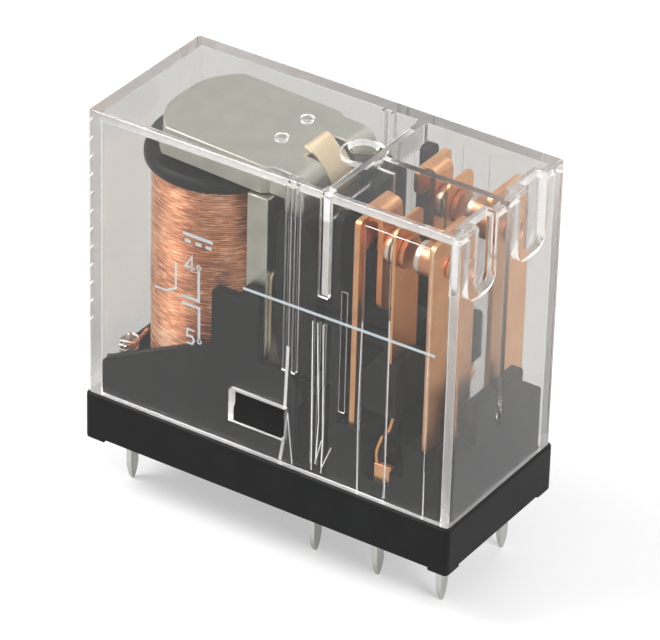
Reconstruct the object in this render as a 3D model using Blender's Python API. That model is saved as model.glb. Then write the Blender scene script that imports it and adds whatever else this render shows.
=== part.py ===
"""A two-pole power relay for circuit boards, in a clear cover.

Heights are measured from the board that the relay is soldered to. The empty named relay lifts them by the
length of the pins, so that the pin tips stand on z = 0. X runs from the coil to the contacts, and the front is -Y.
"""

import math

import bmesh
import bpy
from mathutils import Vector

MM = 0.001

# Overall size and pin pattern
BODY_LENGTH = 29.0 * MM
BODY_WIDTH = 13.0 * MM
BODY_HEIGHT = 25.4 * MM

# A millimetre of the standard body along each axis, so that the inside follows it, and the coil its bay
X_MM = BODY_LENGTH / 29.0
Y_MM = BODY_WIDTH / 13.0
Z_MM = BODY_HEIGHT / 25.4
COIL_OVAL = X_MM / Y_MM

# Pins
PIN_LENGTH = 4.0 * MM
PIN_ROW_SPACING = 7.5 * Y_MM
COIL_TO_CONTACT_PINS = 15.0 * X_MM
CONTACT_PIN_PITCH = 5.0 * X_MM
PIN_WIDTH = 0.9 * Y_MM
PIN_POINT = 1.2 * MM
TERMINAL_SHEET = 0.4 * MM

# Clearances
COVER_FIT = 0.05 * MM
SLOT_FIT = 0.05 * MM
PRESS_FIT = 0.04 * MM
CONTACT_FIT = 0.04 * MM

# Base
BAND_HEIGHT = 3.62 * Z_MM
BODY_CORNER = 0.35 * MM
BAND_EDGE = 0.18 * MM
FOOT_HEIGHT = 0.3 * MM
FOOT_LENGTH = 1.5 * MM
BAY_WALL = 0.65 * min(X_MM, Y_MM)
BAY_END_TOP = 6.3 * Z_MM
BAY_SIDE_TOP = 10.7 * Z_MM
CHEEK_TOP = 15.0 * Z_MM
CHEEK_LENGTH = 3.7 * X_MM
CHEEK_TO_YOKE_FACE = 0.1 * MM
CHEEK_STEP = 0.95 * Z_MM
CHEEK_STEP_LENGTH = 1.3 * X_MM
SIDE_WALL_TOP = 10.6 * Z_MM
SIDE_WALL_RIGHT = 2.0 * X_MM
CONTACT_BLOCK_TOP = 8.3 * Z_MM
NC_BLOCK_REACH = 0.75 * X_MM
NO_BLOCK_REACH = 1.1 * X_MM
COM_LEDGE_TOP = 4.8 * Z_MM
COM_LEDGE_STEP = 1.1 * Z_MM
END_POST_TOP = 11.2 * Z_MM
END_POST_WIDTH = 2.4 * Y_MM
END_POST_TO_PLATE = 0.5 * X_MM
POLE_DIVIDER = 1.2 * Y_MM
BARRIER_LEFT = 4.7 * X_MM
BARRIER = 0.6 * MM
BARRIER_TOP = BODY_HEIGHT - 1.8 * MM
BARRIER_SLOT_BOTTOM = 13.0 * Z_MM
TERMINAL_FOOT_HEIGHT = 1.8 * Z_MM

# Cover
COVER_STEP = 0.15 * MM
COVER_WALL = 0.8 * MM
COVER_EDGE = 0.85 * BODY_CORNER
RIB = 0.5 * MM
RIB_TO_BARRIER = 0.45 * X_MM
CROSS_RIB_DEPTH = 1.7 * MM
POLE_SHEET = 0.5 * MM
POLE_SHEET_BOTTOM = 9.6 * Z_MM
POLE_SHEET_TIP = 0.8 * MM
POLE_SHEET_GAP = 0.15 * MM
GUIDE_RIB_DEPTH = 0.4 * MM
GUIDE_RIB_FOOT = 17.3 * Z_MM
GUIDE_PAIR_X = 1.47 * X_MM
GUIDE_PAIR_SPACING = 0.7 * X_MM
THIN_RIB = 0.14 * MM
THIN_RIB_TOP = 15.4 * Z_MM
THIN_RIB_X = 3.8 * X_MM
THIN_RIB_SPACING = 0.44 * X_MM
POST_RIB = (5.65 * X_MM, 9.2 * Z_MM, 18.3 * Z_MM)
PANEL_X = 7.1 * X_MM
PANEL_LENGTHS = (2.0 * X_MM, 3.05 * X_MM)
PANEL_DEPTH = 0.06 * MM
GATE_RADIUS = 1.5 * MM
GATE_DEPTH = 0.45 * MM
NUB_RADIUS = 0.45 * MM
NUB_HEIGHT = 0.3 * MM
NUB_TO_YOKE_FACE = 1.5 * X_MM
RECESS_WIDTH = 2.2 * Y_MM
RECESS_HEIGHT = 5.2 * Z_MM
RECESS_DEPTH = 0.8 * MM
RECESS_WALL = 0.6 * MM
LATCH_LENGTH = 3.8 * X_MM
LATCH_HEIGHT = 2.1 * Z_MM
LATCH_BOTTOM = 5.65 * Z_MM
LATCH_X = -0.7 * X_MM
LATCH_PLAY = 0.3 * MM

# Electromagnet
COIL_X = -7.8 * X_MM
CORE_RADIUS = 1.9 * Y_MM
POLE_RADIUS = 3.4 * Y_MM
POLE_THICKNESS = 0.3 * MM
TUBE_WALL = 0.55 * Y_MM
FLANGE = 1.05 * MM
TOP_FLANGE_RADIUS = 5.1 * Y_MM
BOTTOM_FLANGE_RADIUS = 4.75 * Y_MM
WINDING_RADIUS = 4.6 * Y_MM
YOKE_SHEET = 1.6 * X_MM
YOKE_FACE = -0.85 * X_MM
YOKE_TOP = BODY_HEIGHT - 2.85 * MM
YOKE_TOE = 2.9 * X_MM
RIVET_RADIUS = 0.55 * MM
RIVET_HEAD = 0.2 * MM
RIVET_HEIGHT = 10.4 * Z_MM
RIVET_Y = 2.6 * Y_MM
COIL_POST_TOP = 7.8 * Z_MM
LEAD_RADIUS = 0.11 * Y_MM
LEAD_TURNS = 3
LEAD_PITCH = 0.34 * Z_MM

# Hinge spring
HINGE_SHEET = 0.2 * MM
HINGE_WIDTH = 9.0 * Y_MM
HINGE_SHOULDER = 17.0 * Z_MM
HINGE_TONGUE = 2.4 * Y_MM
HINGE_BULGE = 2.25 * MM

# Armature and the moulded card on its leg
ARMATURE_SHEET = 1.3 * MM
ARMATURE_WIDTH = 9.0 * Y_MM
ARMATURE_REACH = 10.6 * X_MM
ARMATURE_NOSE = 2.0 * Y_MM
LEG_GAP = 1.0 * MM
LEG_LENGTH = 8.9 * Z_MM
LEG_SLOT = 3.2 * Y_MM
LEG_SPREAD = 8.2 * Y_MM
OPEN_ANGLE = math.radians(2.6)
CARD_SKIN = 0.15 * MM
CARD_TOP = BODY_HEIGHT - 3.5 * MM
CARD_BOTTOM = 10.2 * Z_MM
CARD_SLOPE = 2.2 * MM
CARD_RIGHT = 3.3 * X_MM
ARM_BOTTOM = 14.4 * Z_MM
ARM_HEIGHT = 1.6 * Z_MM
ARM_WIDTH = 1.8 * Y_MM
ARM_SLOT_PLAY = 0.2 * MM
ARM_PLAY = 0.06 * MM

# Contacts
CONTACT_Y = 3.0 * Y_MM
CONTACT_HEIGHT = BODY_HEIGHT - 4.2 * MM
CONTACT_RADIUS = 1.15 * Y_MM
CONTACT_HEAD = 0.5 * X_MM
CONTACT_CROWN = 0.12 * X_MM
SHANK_RADIUS = 0.5 * Y_MM
TAIL_RADIUS = 0.8 * Y_MM
TAIL = 0.22 * MM
SPRING_SHEET = 0.2 * MM
SPRING_WIDTH = 2.9 * Y_MM
SPRING_TOP = BODY_HEIGHT - 2.1 * MM
SPRING_FOOT_SETBACK = 0.28 * X_MM
SPRING_WAIST = 0.3 * X_MM
FOOT_BLOCK_BOTTOM = 9.6 * Z_MM
FOOT_BLOCK_TOP = 13.7 * Z_MM
FOOT_BLOCK_ROUND = 1.0 * Y_MM
FOOT_BLOCK_WALL = 0.35 * MM
FOOT_BLOCK_RIGHT = 0.6 * X_MM
FOOT_BLOCK_LEFT = 0.95 * X_MM
SHOULDER_REACH = 1.0 * X_MM
SHOULDER_TOP = 12.3 * Z_MM
COM_TAB_TOP = 6.05 * Z_MM
COM_TAB_BOTTOM = 4.4 * Z_MM
COM_TAB_LENGTH = 1.3 * X_MM
PLATE_TOP = BODY_HEIGHT - 1.8 * MM
NC_LEG_WIDTH = 0.8 * Y_MM
NC_LEG_TO_SIDE = 0.7 * MM
NC_TO_BARRIER = 0.76 * X_MM
NC_BRIDGE = 1.7 * Z_MM
NC_SETBACK = 0.95 * X_MM
NC_TONGUE_WIDTH = 1.9 * Y_MM
NC_TONGUE_BOTTOM = 16.5 * Z_MM
NO_PLATE_INNER = 1.3 * Y_MM
NO_PLATE_TO_PIN = 0.88 * X_MM

ROUND_STEPS = 28
ARC_STEPS = 4

# Places that follow from the sizes above
PIN_Y = PIN_ROW_SPACING / 2
COIL_PIN_X = -(COIL_TO_CONTACT_PINS + 2 * CONTACT_PIN_PITCH) / 2
NC_PIN_X = COIL_PIN_X + COIL_TO_CONTACT_PINS
COM_PIN_X = NC_PIN_X + CONTACT_PIN_PITCH
NO_PIN_X = COM_PIN_X + CONTACT_PIN_PITCH
COVER_X = BODY_LENGTH / 2 - COVER_STEP
COVER_Y = BODY_WIDTH / 2 - COVER_STEP
INSIDE_X = COVER_X - COVER_WALL
INSIDE_Y = COVER_Y - COVER_WALL
INSIDE_TOP = BODY_HEIGHT - COVER_WALL
INSERT_X = INSIDE_X - COVER_FIT
INSERT_Y = INSIDE_Y - COVER_FIT
BAY_Y = INSERT_Y - BAY_WALL
CHEEK_RIGHT = YOKE_FACE - CHEEK_TO_YOKE_FACE
CHEEK_LEFT = CHEEK_RIGHT - CHEEK_LENGTH
BARRIER_RIGHT = BARRIER_LEFT + BARRIER
YOKE_BOTTOM = BAND_HEIGHT + PRESS_FIT
BOBBIN_BOTTOM = YOKE_BOTTOM + YOKE_SHEET + PRESS_FIT
BOBBIN_TOP = YOKE_TOP - POLE_THICKNESS - PRESS_FIT
HINGE_X = YOKE_FACE
HINGE_Z = YOKE_TOP
LEG_LEFT = HINGE_X + LEG_GAP
ARMATURE_UNDER = YOKE_TOP + PRESS_FIT
YOKE_WIDTH = 2 * (BAY_Y - SLOT_FIT)
CARD_WIDTH = 2 * (BAY_Y - 2 * SLOT_FIT)
NC_LEG_Y = INSERT_Y - NC_LEG_TO_SIDE
NC_PLATE_RIGHT = BARRIER_RIGHT + NC_TO_BARRIER + TERMINAL_SHEET
NC_TONGUE_RIGHT = NC_PLATE_RIGHT + NC_SETBACK
SPRING_LEFT = NC_TONGUE_RIGHT + CONTACT_FIT + 2 * CONTACT_HEAD
SPRING_X = SPRING_LEFT + SPRING_SHEET / 2
SPRING_RIGHT = SPRING_LEFT + SPRING_SHEET
SPRING_FOOT_X = SPRING_X - SPRING_FOOT_SETBACK
SPRING_WAIST_X = SPRING_X + SPRING_WAIST
SPRING_FOOT_Z = COM_TAB_TOP + CONTACT_FIT
ARM_Z = ARM_BOTTOM + ARM_HEIGHT / 2
SPRING_RATIO = (HINGE_Z - ARM_Z) / (ARM_Z - SPRING_FOOT_Z) + 0.04
SPRING_TURN = SPRING_RATIO * OPEN_ANGLE
CONTACT_TRAVEL = (CONTACT_HEIGHT - SPRING_FOOT_Z) * math.tan(SPRING_TURN)
NO_FACE = SPRING_RIGHT + CONTACT_HEAD + CONTACT_TRAVEL + CONTACT_FIT
NO_PLATE_LEFT = NO_PIN_X - NO_PLATE_TO_PIN
NO_PLATE_RIGHT = NO_PLATE_LEFT + TERMINAL_SHEET
NC_BLOCK_RIGHT = NC_PLATE_RIGHT + NC_BLOCK_REACH
NO_BLOCK_LEFT = NO_PLATE_LEFT - NO_BLOCK_REACH
COM_TAB_LEFT = SPRING_FOOT_X - SPRING_SHEET
COM_TAB_RIGHT = COM_TAB_LEFT + COM_TAB_LENGTH
LEG_OUTER_Y = NC_LEG_Y + NC_LEG_WIDTH / 2


for leftover in list(bpy.data.objects):
    bpy.data.objects.remove(leftover)


def material(name, colour, roughness, metallic=0.0, clear=0.0):
    made = bpy.data.materials.new(name)
    made.use_nodes = True
    shader = made.node_tree.nodes["Principled BSDF"]
    shader.inputs["Base Color"].default_value = (*colour, 1.0)
    shader.inputs["Roughness"].default_value = roughness
    shader.inputs["Metallic"].default_value = metallic
    shader.inputs["Transmission Weight"].default_value = clear
    made.diffuse_color = (*colour, 1.0 - 0.7 * clear)
    return made


BLACK_MOULDING = material("black moulding", (0.03, 0.03, 0.03), 0.42)
CLEAR_COVER = material("clear polycarbonate", (0.86, 0.88, 0.87), 0.06, clear=1.0)
TINNED = material("tinned copper", (0.66, 0.66, 0.64), 0.3, metallic=1.0)
COPPER_SHEET = material("copper alloy", (0.78, 0.44, 0.28), 0.32, metallic=1.0)
SPRING_COPPER = material("spring copper", (0.74, 0.42, 0.26), 0.28, metallic=1.0)
BRONZE = material("spring bronze", (0.80, 0.60, 0.42), 0.3, metallic=1.0)
COPPER_WIRE = material("enamelled copper wire", (0.72, 0.34, 0.18), 0.35, metallic=0.9)
NICKEL_STEEL = material("nickel-plated steel", (0.56, 0.54, 0.49), 0.3, metallic=1.0)
SILVER = material("silver contact", (0.82, 0.81, 0.78), 0.25, metallic=1.0)


def empty(name, location, parent=None, rotation=(0.0, 0.0, 0.0)):
    made = bpy.data.objects.new(name, None)
    made.location = location
    made.rotation_euler = rotation
    made.parent = parent
    bpy.context.scene.collection.objects.link(made)
    return made


RELAY = empty("relay", (0.0, 0.0, PIN_LENGTH))
ARMATURE_PIVOT = empty(
    "armature_pivot", (HINGE_X, 0.0, HINGE_Z), RELAY, (0.0, OPEN_ANGLE, 0.0)
)


def loft(name, rings, skin=None, closed=False, parent=RELAY):
    """A closed body through rings of points, with flat ends unless the rings run round to the first."""
    mesh = bmesh.new()
    loops = [[mesh.verts.new(point) for point in ring] for ring in rings]
    pairs = list(zip(loops, loops[1:]))
    if closed:
        pairs.append((loops[-1], loops[0]))
    else:
        mesh.faces.new(loops[0])
        mesh.faces.new(loops[-1])
    for low, high in pairs:
        for i in range(len(low)):
            j = (i + 1) % len(low)
            mesh.faces.new((low[i], low[j], high[j], high[i]))
    bmesh.ops.recalc_face_normals(mesh, faces=mesh.faces)
    data = bpy.data.meshes.new(name)
    mesh.to_mesh(data)
    mesh.free()
    made = bpy.data.objects.new(name, data)
    # An object under a pivot is drawn in the relay's coordinates too, with its origin on the pivot.
    made.parent = parent
    if parent is not RELAY:
        for vertex in data.vertices:
            vertex.co -= parent.location
    bpy.context.scene.collection.objects.link(made)
    if skin is None:
        made.hide_render = True
        made.display_type = "WIRE"
    else:
        data.materials.append(skin)
        data.shade_smooth()
        data.set_sharp_from_angle(angle=math.radians(35))
    return made


def on_plane(outline, axis, at):
    """The points of a flat outline, set across an axis at a distance along it."""
    if axis == "X":
        return [(at, u, v) for u, v in outline]
    if axis == "Y":
        return [(u, at, v) for u, v in outline]
    return [(u, v, at) for u, v in outline]


def prism(name, outline, axis, low, high, skin=None, parent=RELAY):
    rings = [on_plane(outline, axis, at) for at in (low, high)]
    return loft(name, rings, skin, parent=parent)


def block(name, low, high, skin=None, parent=RELAY):
    (x0, y0, z0), (x1, y1, z1) = low, high
    return prism(name, [(x0, y0), (x1, y0), (x1, y1), (x0, y1)], "Z", z0, z1, skin, parent)


def circle(u, v, radius, steps=ROUND_STEPS):
    turns = [2 * math.pi * i / steps for i in range(steps)]
    return [(u + radius * math.cos(t), v + radius * math.sin(t)) for t in turns]


def turned(name, profile, axis, u, v, skin=None, closed=False, parent=RELAY, steps=ROUND_STEPS):
    """A solid of revolution about a line along an axis through (u, v), from (radius, distance) pairs."""
    rings = [on_plane(circle(u, v, radius, steps), axis, at) for radius, at in profile]
    return loft(name, rings, skin, closed, parent)


def on_coil(name, profile, skin=None, closed=False, steps=ROUND_STEPS):
    """A solid of revolution about the coil's axis, which turns oval with a body that is longer or wider."""
    rings = [
        [(COIL_X + x * COIL_OVAL, y, at) for x, y in circle(0.0, 0.0, radius, steps)]
        for radius, at in profile
    ]
    return loft(name, rings, skin, closed)


def with_arcs(corners, closed=True):
    """An outline or a path through (u, v, radius) corners, each radius as an arc."""
    points = []
    count = len(corners)
    for i, (u, v, radius) in enumerate(corners):
        here = Vector((u, v))
        if radius <= 0 or (not closed and i in (0, count - 1)):
            points.append((u, v))
            continue
        back = (Vector(corners[i - 1][:2]) - here).normalized()
        ahead = (Vector(corners[(i + 1) % count][:2]) - here).normalized()
        half = back.angle(ahead) / 2
        centre = here + (back + ahead).normalized() * radius / math.sin(half)
        start = here + back * radius / math.tan(half) - centre
        end = here + ahead * radius / math.tan(half) - centre
        turn = start.angle_signed(end)
        for step in range(ARC_STEPS + 1):
            angle = -turn * step / ARC_STEPS
            spoke = Vector(
                (
                    start.x * math.cos(angle) - start.y * math.sin(angle),
                    start.x * math.sin(angle) + start.y * math.cos(angle),
                )
            )
            points.append(tuple(centre + spoke))
    return points


def strip_outline(path, thickness):
    """The outline of a bent strip seen edge on, from the path of its middle."""
    left = []
    right = []
    for i, point in enumerate(path):
        before = Vector(path[max(i - 1, 0)])
        after = Vector(path[min(i + 1, len(path) - 1)])
        along = (after - before).normalized()
        across = Vector((-along.y, along.x)) * thickness / 2
        left.append(tuple(Vector(point) + across))
        right.append(tuple(Vector(point) - across))
    return left + right[::-1]


def smooth_path(knots, steps=4):
    """A curve through its knots, each stretch as a cubic with the slope of its neighbours."""
    path = []
    last = len(knots) - 1
    for i in range(last):
        a = Vector(knots[max(i - 1, 0)])
        b = Vector(knots[i])
        c = Vector(knots[i + 1])
        d = Vector(knots[min(i + 2, last)])
        for step in range(steps):
            t = step / steps
            bend = (2 * a - 5 * b + 4 * c - d) * t * t + (3 * b - a - 3 * c + d) * t**3
            path.append(tuple((2 * b + (c - a) * t + bend) / 2))
    path.append(tuple(knots[-1]))
    return path


def combine(body, other, operation):
    step = body.modifiers.new(f"{operation.lower()} {other.name}", "BOOLEAN")
    step.operation = operation
    step.solver = "EXACT"
    step.object = other
    return body


def cut(body, cutter):
    return combine(body, cutter, "DIFFERENCE")


def weld(body, other):
    return combine(body, other, "UNION")


def grown(low, high, by):
    return [a - by for a in low], [b + by for b in high]


def rounded_rectangle(half_u, half_v, radius):
    corners = [(half_u, half_v), (-half_u, half_v), (-half_u, -half_v), (half_u, -half_v)]
    return with_arcs([(u, v, radius) for u, v in corners])


def rounded_block(name, half_x, half_y, low, high, corner, edges, skin=None):
    """A block with round upright corners, and with rounded bottom and top edges of the two given radii."""
    levels = []
    for edge, end, sign in ((edges[0], low, 1), (edges[1], high, -1)):
        steps = range(ARC_STEPS + 1) if edge > 0 else [ARC_STEPS]
        turns = [math.pi / 2 * step / ARC_STEPS for step in steps]
        side = [
            (edge * (1 - math.sin(turn)), end + sign * edge * (1 - math.cos(turn)))
            for turn in turns
        ]
        levels += side if sign > 0 else side[::-1]
    rings = [
        on_plane(rounded_rectangle(half_x - inset, half_y - inset, corner - inset), "Z", at)
        for inset, at in levels
    ]
    return loft(name, rings, skin)


def sides():
    """The two poles: the front one at -Y and the back one at +Y."""
    return (("front", -1), ("back", 1))


def across(side, near, far):
    """The Y range of something that lies from near to far off the middle, on one side."""
    return tuple(sorted((side * near, side * far)))


# Terminals are bent from one sheet. Each is a list of boxes below the floor of the base, which also cut its slots.


def pin_box(pin_x, side, top):
    y0, y1 = across(side, PIN_Y - PIN_WIDTH / 2, PIN_Y + PIN_WIDTH / 2)
    x0 = pin_x - TERMINAL_SHEET / 2
    return ((x0, y0, -PIN_LENGTH + PIN_POINT), (x0 + TERMINAL_SHEET, y1, top))


def terminal_foot(x0, x1, side, near, far):
    y0, y1 = across(side, near, far)
    return ((x0, y0, TERMINAL_FOOT_HEIGHT), (x1, y1, TERMINAL_FOOT_HEIGHT + TERMINAL_SHEET))


def nc_boxes(side):
    inner = PIN_Y - PIN_WIDTH / 2
    outer = LEG_OUTER_Y
    y0, y1 = across(side, NC_LEG_Y - NC_LEG_WIDTH / 2, outer)
    leg = (
        (NC_PLATE_RIGHT - TERMINAL_SHEET, y0, TERMINAL_FOOT_HEIGHT),
        (NC_PLATE_RIGHT, y1, PLATE_TOP - NC_BRIDGE),
    )
    foot = terminal_foot(NC_PIN_X - TERMINAL_SHEET / 2, NC_PLATE_RIGHT, side, inner, outer)
    return [leg, foot, pin_box(NC_PIN_X, side, foot[1][2])]


def com_boxes(side):
    x0 = COM_PIN_X - TERMINAL_SHEET / 2
    y0, y1 = across(side, LEG_OUTER_Y - TERMINAL_SHEET, LEG_OUTER_Y)
    run = ((x0, y0, TERMINAL_FOOT_HEIGHT), (COM_TAB_RIGHT, y1, COM_TAB_BOTTOM))
    tab = ((COM_TAB_LEFT, y0, TERMINAL_FOOT_HEIGHT), (COM_TAB_RIGHT, y1, COM_TAB_TOP))
    flange_y = across(side, PIN_Y - PIN_WIDTH / 2, LEG_OUTER_Y)
    flange_top = TERMINAL_FOOT_HEIGHT + 2 * TERMINAL_SHEET
    flange = (
        (x0, flange_y[0], TERMINAL_FOOT_HEIGHT),
        (x0 + TERMINAL_SHEET, flange_y[1], flange_top),
    )
    return [run, tab, flange, pin_box(COM_PIN_X, side, flange_top)]


def no_boxes(side):
    y0, y1 = across(side, NO_PLATE_INNER, LEG_OUTER_Y)
    plate = ((NO_PLATE_LEFT, y0, TERMINAL_FOOT_HEIGHT), (NO_PLATE_RIGHT, y1, CONTACT_BLOCK_TOP))
    inner = PIN_Y - PIN_WIDTH / 2
    foot = terminal_foot(NO_PLATE_LEFT, NO_PIN_X + TERMINAL_SHEET / 2, side, inner, inner + PIN_WIDTH)
    return [plate, foot, pin_box(NO_PIN_X, side, foot[1][2])]


def coil_boxes(side):
    return [pin_box(COIL_PIN_X, side, COIL_POST_TOP - PIN_POINT)]


def pin_tip(name, pin_x, side, start, end):
    """The tapered end of a pin or a post: a wedge from the full section to a small flat."""
    rings = []
    for share, at in ((1.0, start), (0.72, start + 0.55 * (end - start)), (0.22, end)):
        half_y = PIN_WIDTH / 2 * share
        half_x = TERMINAL_SHEET / 2 * (0.5 + 0.5 * share)
        y = side * PIN_Y
        rings.append(
            on_plane(
                [
                    (pin_x - half_x, y - half_y),
                    (pin_x + half_x, y - half_y),
                    (pin_x + half_x, y + half_y),
                    (pin_x - half_x, y + half_y),
                ],
                "Z",
                at,
            )
        )
    return loft(name, rings)


def terminal(name, boxes, pin_x, side, skin):
    """A terminal from its boxes, with a tapered tip under its pin."""
    body = block(name, *boxes[0], skin)
    for number, (low, high) in enumerate(boxes[1:]):
        weld(body, block(f"{name} bend {number}", low, high))
    start = -PIN_LENGTH + PIN_POINT
    return weld(body, pin_tip(f"{name} tip", pin_x, side, start, -PIN_LENGTH))


def slots(body, boxes, name):
    """Cuts a terminal's way through the base, open to the board under its pin."""
    for number, (low, high) in enumerate(boxes):
        cut(body, block(f"{name} slot {number}", *grown(low, high, SLOT_FIT)))


def make_base():
    base = rounded_block(
        "base",
        BODY_LENGTH / 2,
        BODY_WIDTH / 2,
        0.0,
        BAND_HEIGHT,
        BODY_CORNER,
        (BAND_EDGE, BAND_EDGE),
        BLACK_MOULDING,
    )
    # The underside stands on a foot in each corner.
    outside = BODY_LENGTH
    foot_x = BODY_LENGTH / 2 - FOOT_LENGTH
    foot_y = BODY_WIDTH / 2 - FOOT_LENGTH
    cut(base, block("underside along", (-outside, -foot_y, -outside), (outside, foot_y, FOOT_HEIGHT)))
    cut(base, block("underside across", (-foot_x, -outside, -outside), (foot_x, outside, FOOT_HEIGHT)))

    rooted = BAND_HEIGHT / 2
    coil_wall = with_arcs(
        [
            (-INSERT_X, rooted, 0),
            (-INSERT_X, BAY_END_TOP, BAY_WALL),
            (CHEEK_LEFT, BAY_SIDE_TOP, 0),
            (CHEEK_LEFT, CHEEK_TOP, BAY_WALL / 2),
            (CHEEK_RIGHT - CHEEK_STEP_LENGTH, CHEEK_TOP, 0),
            (CHEEK_RIGHT - CHEEK_STEP_LENGTH, CHEEK_TOP + CHEEK_STEP, BAY_WALL / 2),
            (CHEEK_RIGHT, CHEEK_TOP + CHEEK_STEP, BAY_WALL / 2),
            (CHEEK_RIGHT, SIDE_WALL_TOP, 0),
            (SIDE_WALL_RIGHT, SIDE_WALL_TOP, BAY_WALL),
            (SIDE_WALL_RIGHT, rooted, 0),
        ]
    )
    for word, side in sides():
        weld(base, prism(f"coil wall {word}", coil_wall, "Y", *across(side, BAY_Y, INSERT_Y)))
    end_wall = [(-INSERT_Y, rooted), (INSERT_Y, rooted), (INSERT_Y, BAY_END_TOP - BAY_WALL)]
    end_wall += [(INSERT_Y - BAY_WALL, BAY_END_TOP), (BAY_WALL - INSERT_Y, BAY_END_TOP)]
    end_wall += [(-INSERT_Y, BAY_END_TOP - BAY_WALL)]
    weld(base, prism("coil end wall", end_wall, "X", -INSERT_X, -INSERT_X + BAY_WALL))
    for word, side in sides():
        y0, y1 = across(side, PIN_Y - PIN_WIDTH, PIN_Y + PIN_WIDTH)
        low = (-INSERT_X - BAY_WALL, y0, BOBBIN_BOTTOM + FLANGE / 2)
        notch = block(f"lead notch {word}", low, (COIL_PIN_X, y1, BAY_END_TOP + BAY_WALL))
        cut(base, notch)

    # The barrier between coil and contacts is a comb: the card's arms drop into its two slots.
    slot = ARM_WIDTH / 2 + ARM_SLOT_PLAY
    comb = [(-INSERT_Y, rooted, 0), (INSERT_Y, rooted, 0), (INSERT_Y, BARRIER_TOP, BARRIER)]
    for middle in (CONTACT_Y, -CONTACT_Y):
        comb += [
            (middle + slot, BARRIER_TOP, BARRIER / 2),
            (middle + slot, BARRIER_SLOT_BOTTOM, slot / 2),
            (middle - slot, BARRIER_SLOT_BOTTOM, slot / 2),
            (middle - slot, BARRIER_TOP, BARRIER / 2),
        ]
    comb += [(-INSERT_Y, BARRIER_TOP, BARRIER)]
    weld(base, prism("barrier", with_arcs(comb), "X", BARRIER_LEFT, BARRIER_RIGHT))

    # Walls and blocks that hold the contact terminals upright, and a divider between the poles.
    divider = POLE_DIVIDER / 2
    weld(
        base,
        block("divider", (BARRIER_LEFT, -divider, rooted), (INSERT_X, divider, CONTACT_BLOCK_TOP)),
    )
    for word, side in sides():
        for label, x0, x1 in (("nc", BARRIER_LEFT - PRESS_FIT, NC_BLOCK_RIGHT), ("no", NO_BLOCK_LEFT, INSERT_X)):
            plan = with_arcs(
                [
                    (x0, -INSERT_Y, 0),
                    (x1, -INSERT_Y, BAY_WALL / 2),
                    (x1, 0, 0),
                    (x0, 0, 0),
                ]
            )
            plan = [(x, -side * y) for x, y in plan]
            weld(
                base,
                prism(f"{label} block {word}", plan, "Z", rooted, CONTACT_BLOCK_TOP),
            )
        # Between the blocks a ledge runs along the wall, stepped up beside the common terminal's tab.
        ledge = [
            (NC_BLOCK_RIGHT - BAY_WALL, rooted),
            (NO_BLOCK_LEFT + BAY_WALL, rooted),
            (NO_BLOCK_LEFT + BAY_WALL, COM_LEDGE_TOP + COM_LEDGE_STEP),
            (COM_TAB_RIGHT + SLOT_FIT, COM_LEDGE_TOP + COM_LEDGE_STEP),
            (COM_TAB_RIGHT + SLOT_FIT, COM_LEDGE_TOP),
            (NC_BLOCK_RIGHT - BAY_WALL, COM_LEDGE_TOP),
        ]
        ledge_y = across(side, LEG_OUTER_Y - 2 * TERMINAL_SHEET, INSERT_Y)
        weld(base, prism(f"ledge {word}", ledge, "Y", *ledge_y))
        # A post behind each normally open plate, beside the cover's pole sheet.
        post_y = across(side, POLE_SHEET / 2 + POLE_SHEET_GAP, POLE_SHEET / 2 + POLE_SHEET_GAP + END_POST_WIDTH)
        post = with_arcs(
            [
                (NO_PLATE_RIGHT + END_POST_TO_PLATE, rooted, 0),
                (INSERT_X, rooted, 0),
                (INSERT_X, END_POST_TOP, BAY_WALL / 3),
                (NO_PLATE_RIGHT + END_POST_TO_PLATE, END_POST_TOP, BAY_WALL / 3),
            ]
        )
        weld(base, prism(f"end post {word}", post, "Y", *post_y))
        latch_y = across(side, BAY_Y, COVER_Y - COVER_FIT * 3)
        latch_top = LATCH_BOTTOM + LATCH_HEIGHT
        latch_out = side * (COVER_Y - COVER_FIT * 3)
        latch_in = side * (INSERT_Y - BAY_WALL / 2)
        wedge = [
            (latch_in, LATCH_BOTTOM),
            (latch_out, LATCH_BOTTOM),
            (latch_out, LATCH_BOTTOM + LATCH_HEIGHT * 0.45),
            (side * INSERT_Y, latch_top),
            (latch_in, latch_top),
        ]
        half = LATCH_LENGTH / 2
        weld(base, prism(f"latch {word}", wedge, "X", LATCH_X - half, LATCH_X + half))

    for word, side in sides():
        for label, boxes in (
            ("coil", coil_boxes(side)),
            ("nc", nc_boxes(side)),
            ("com", com_boxes(side)),
            ("no", no_boxes(side)),
        ):
            slots(base, boxes, f"{label} {word}")
    return base


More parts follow.
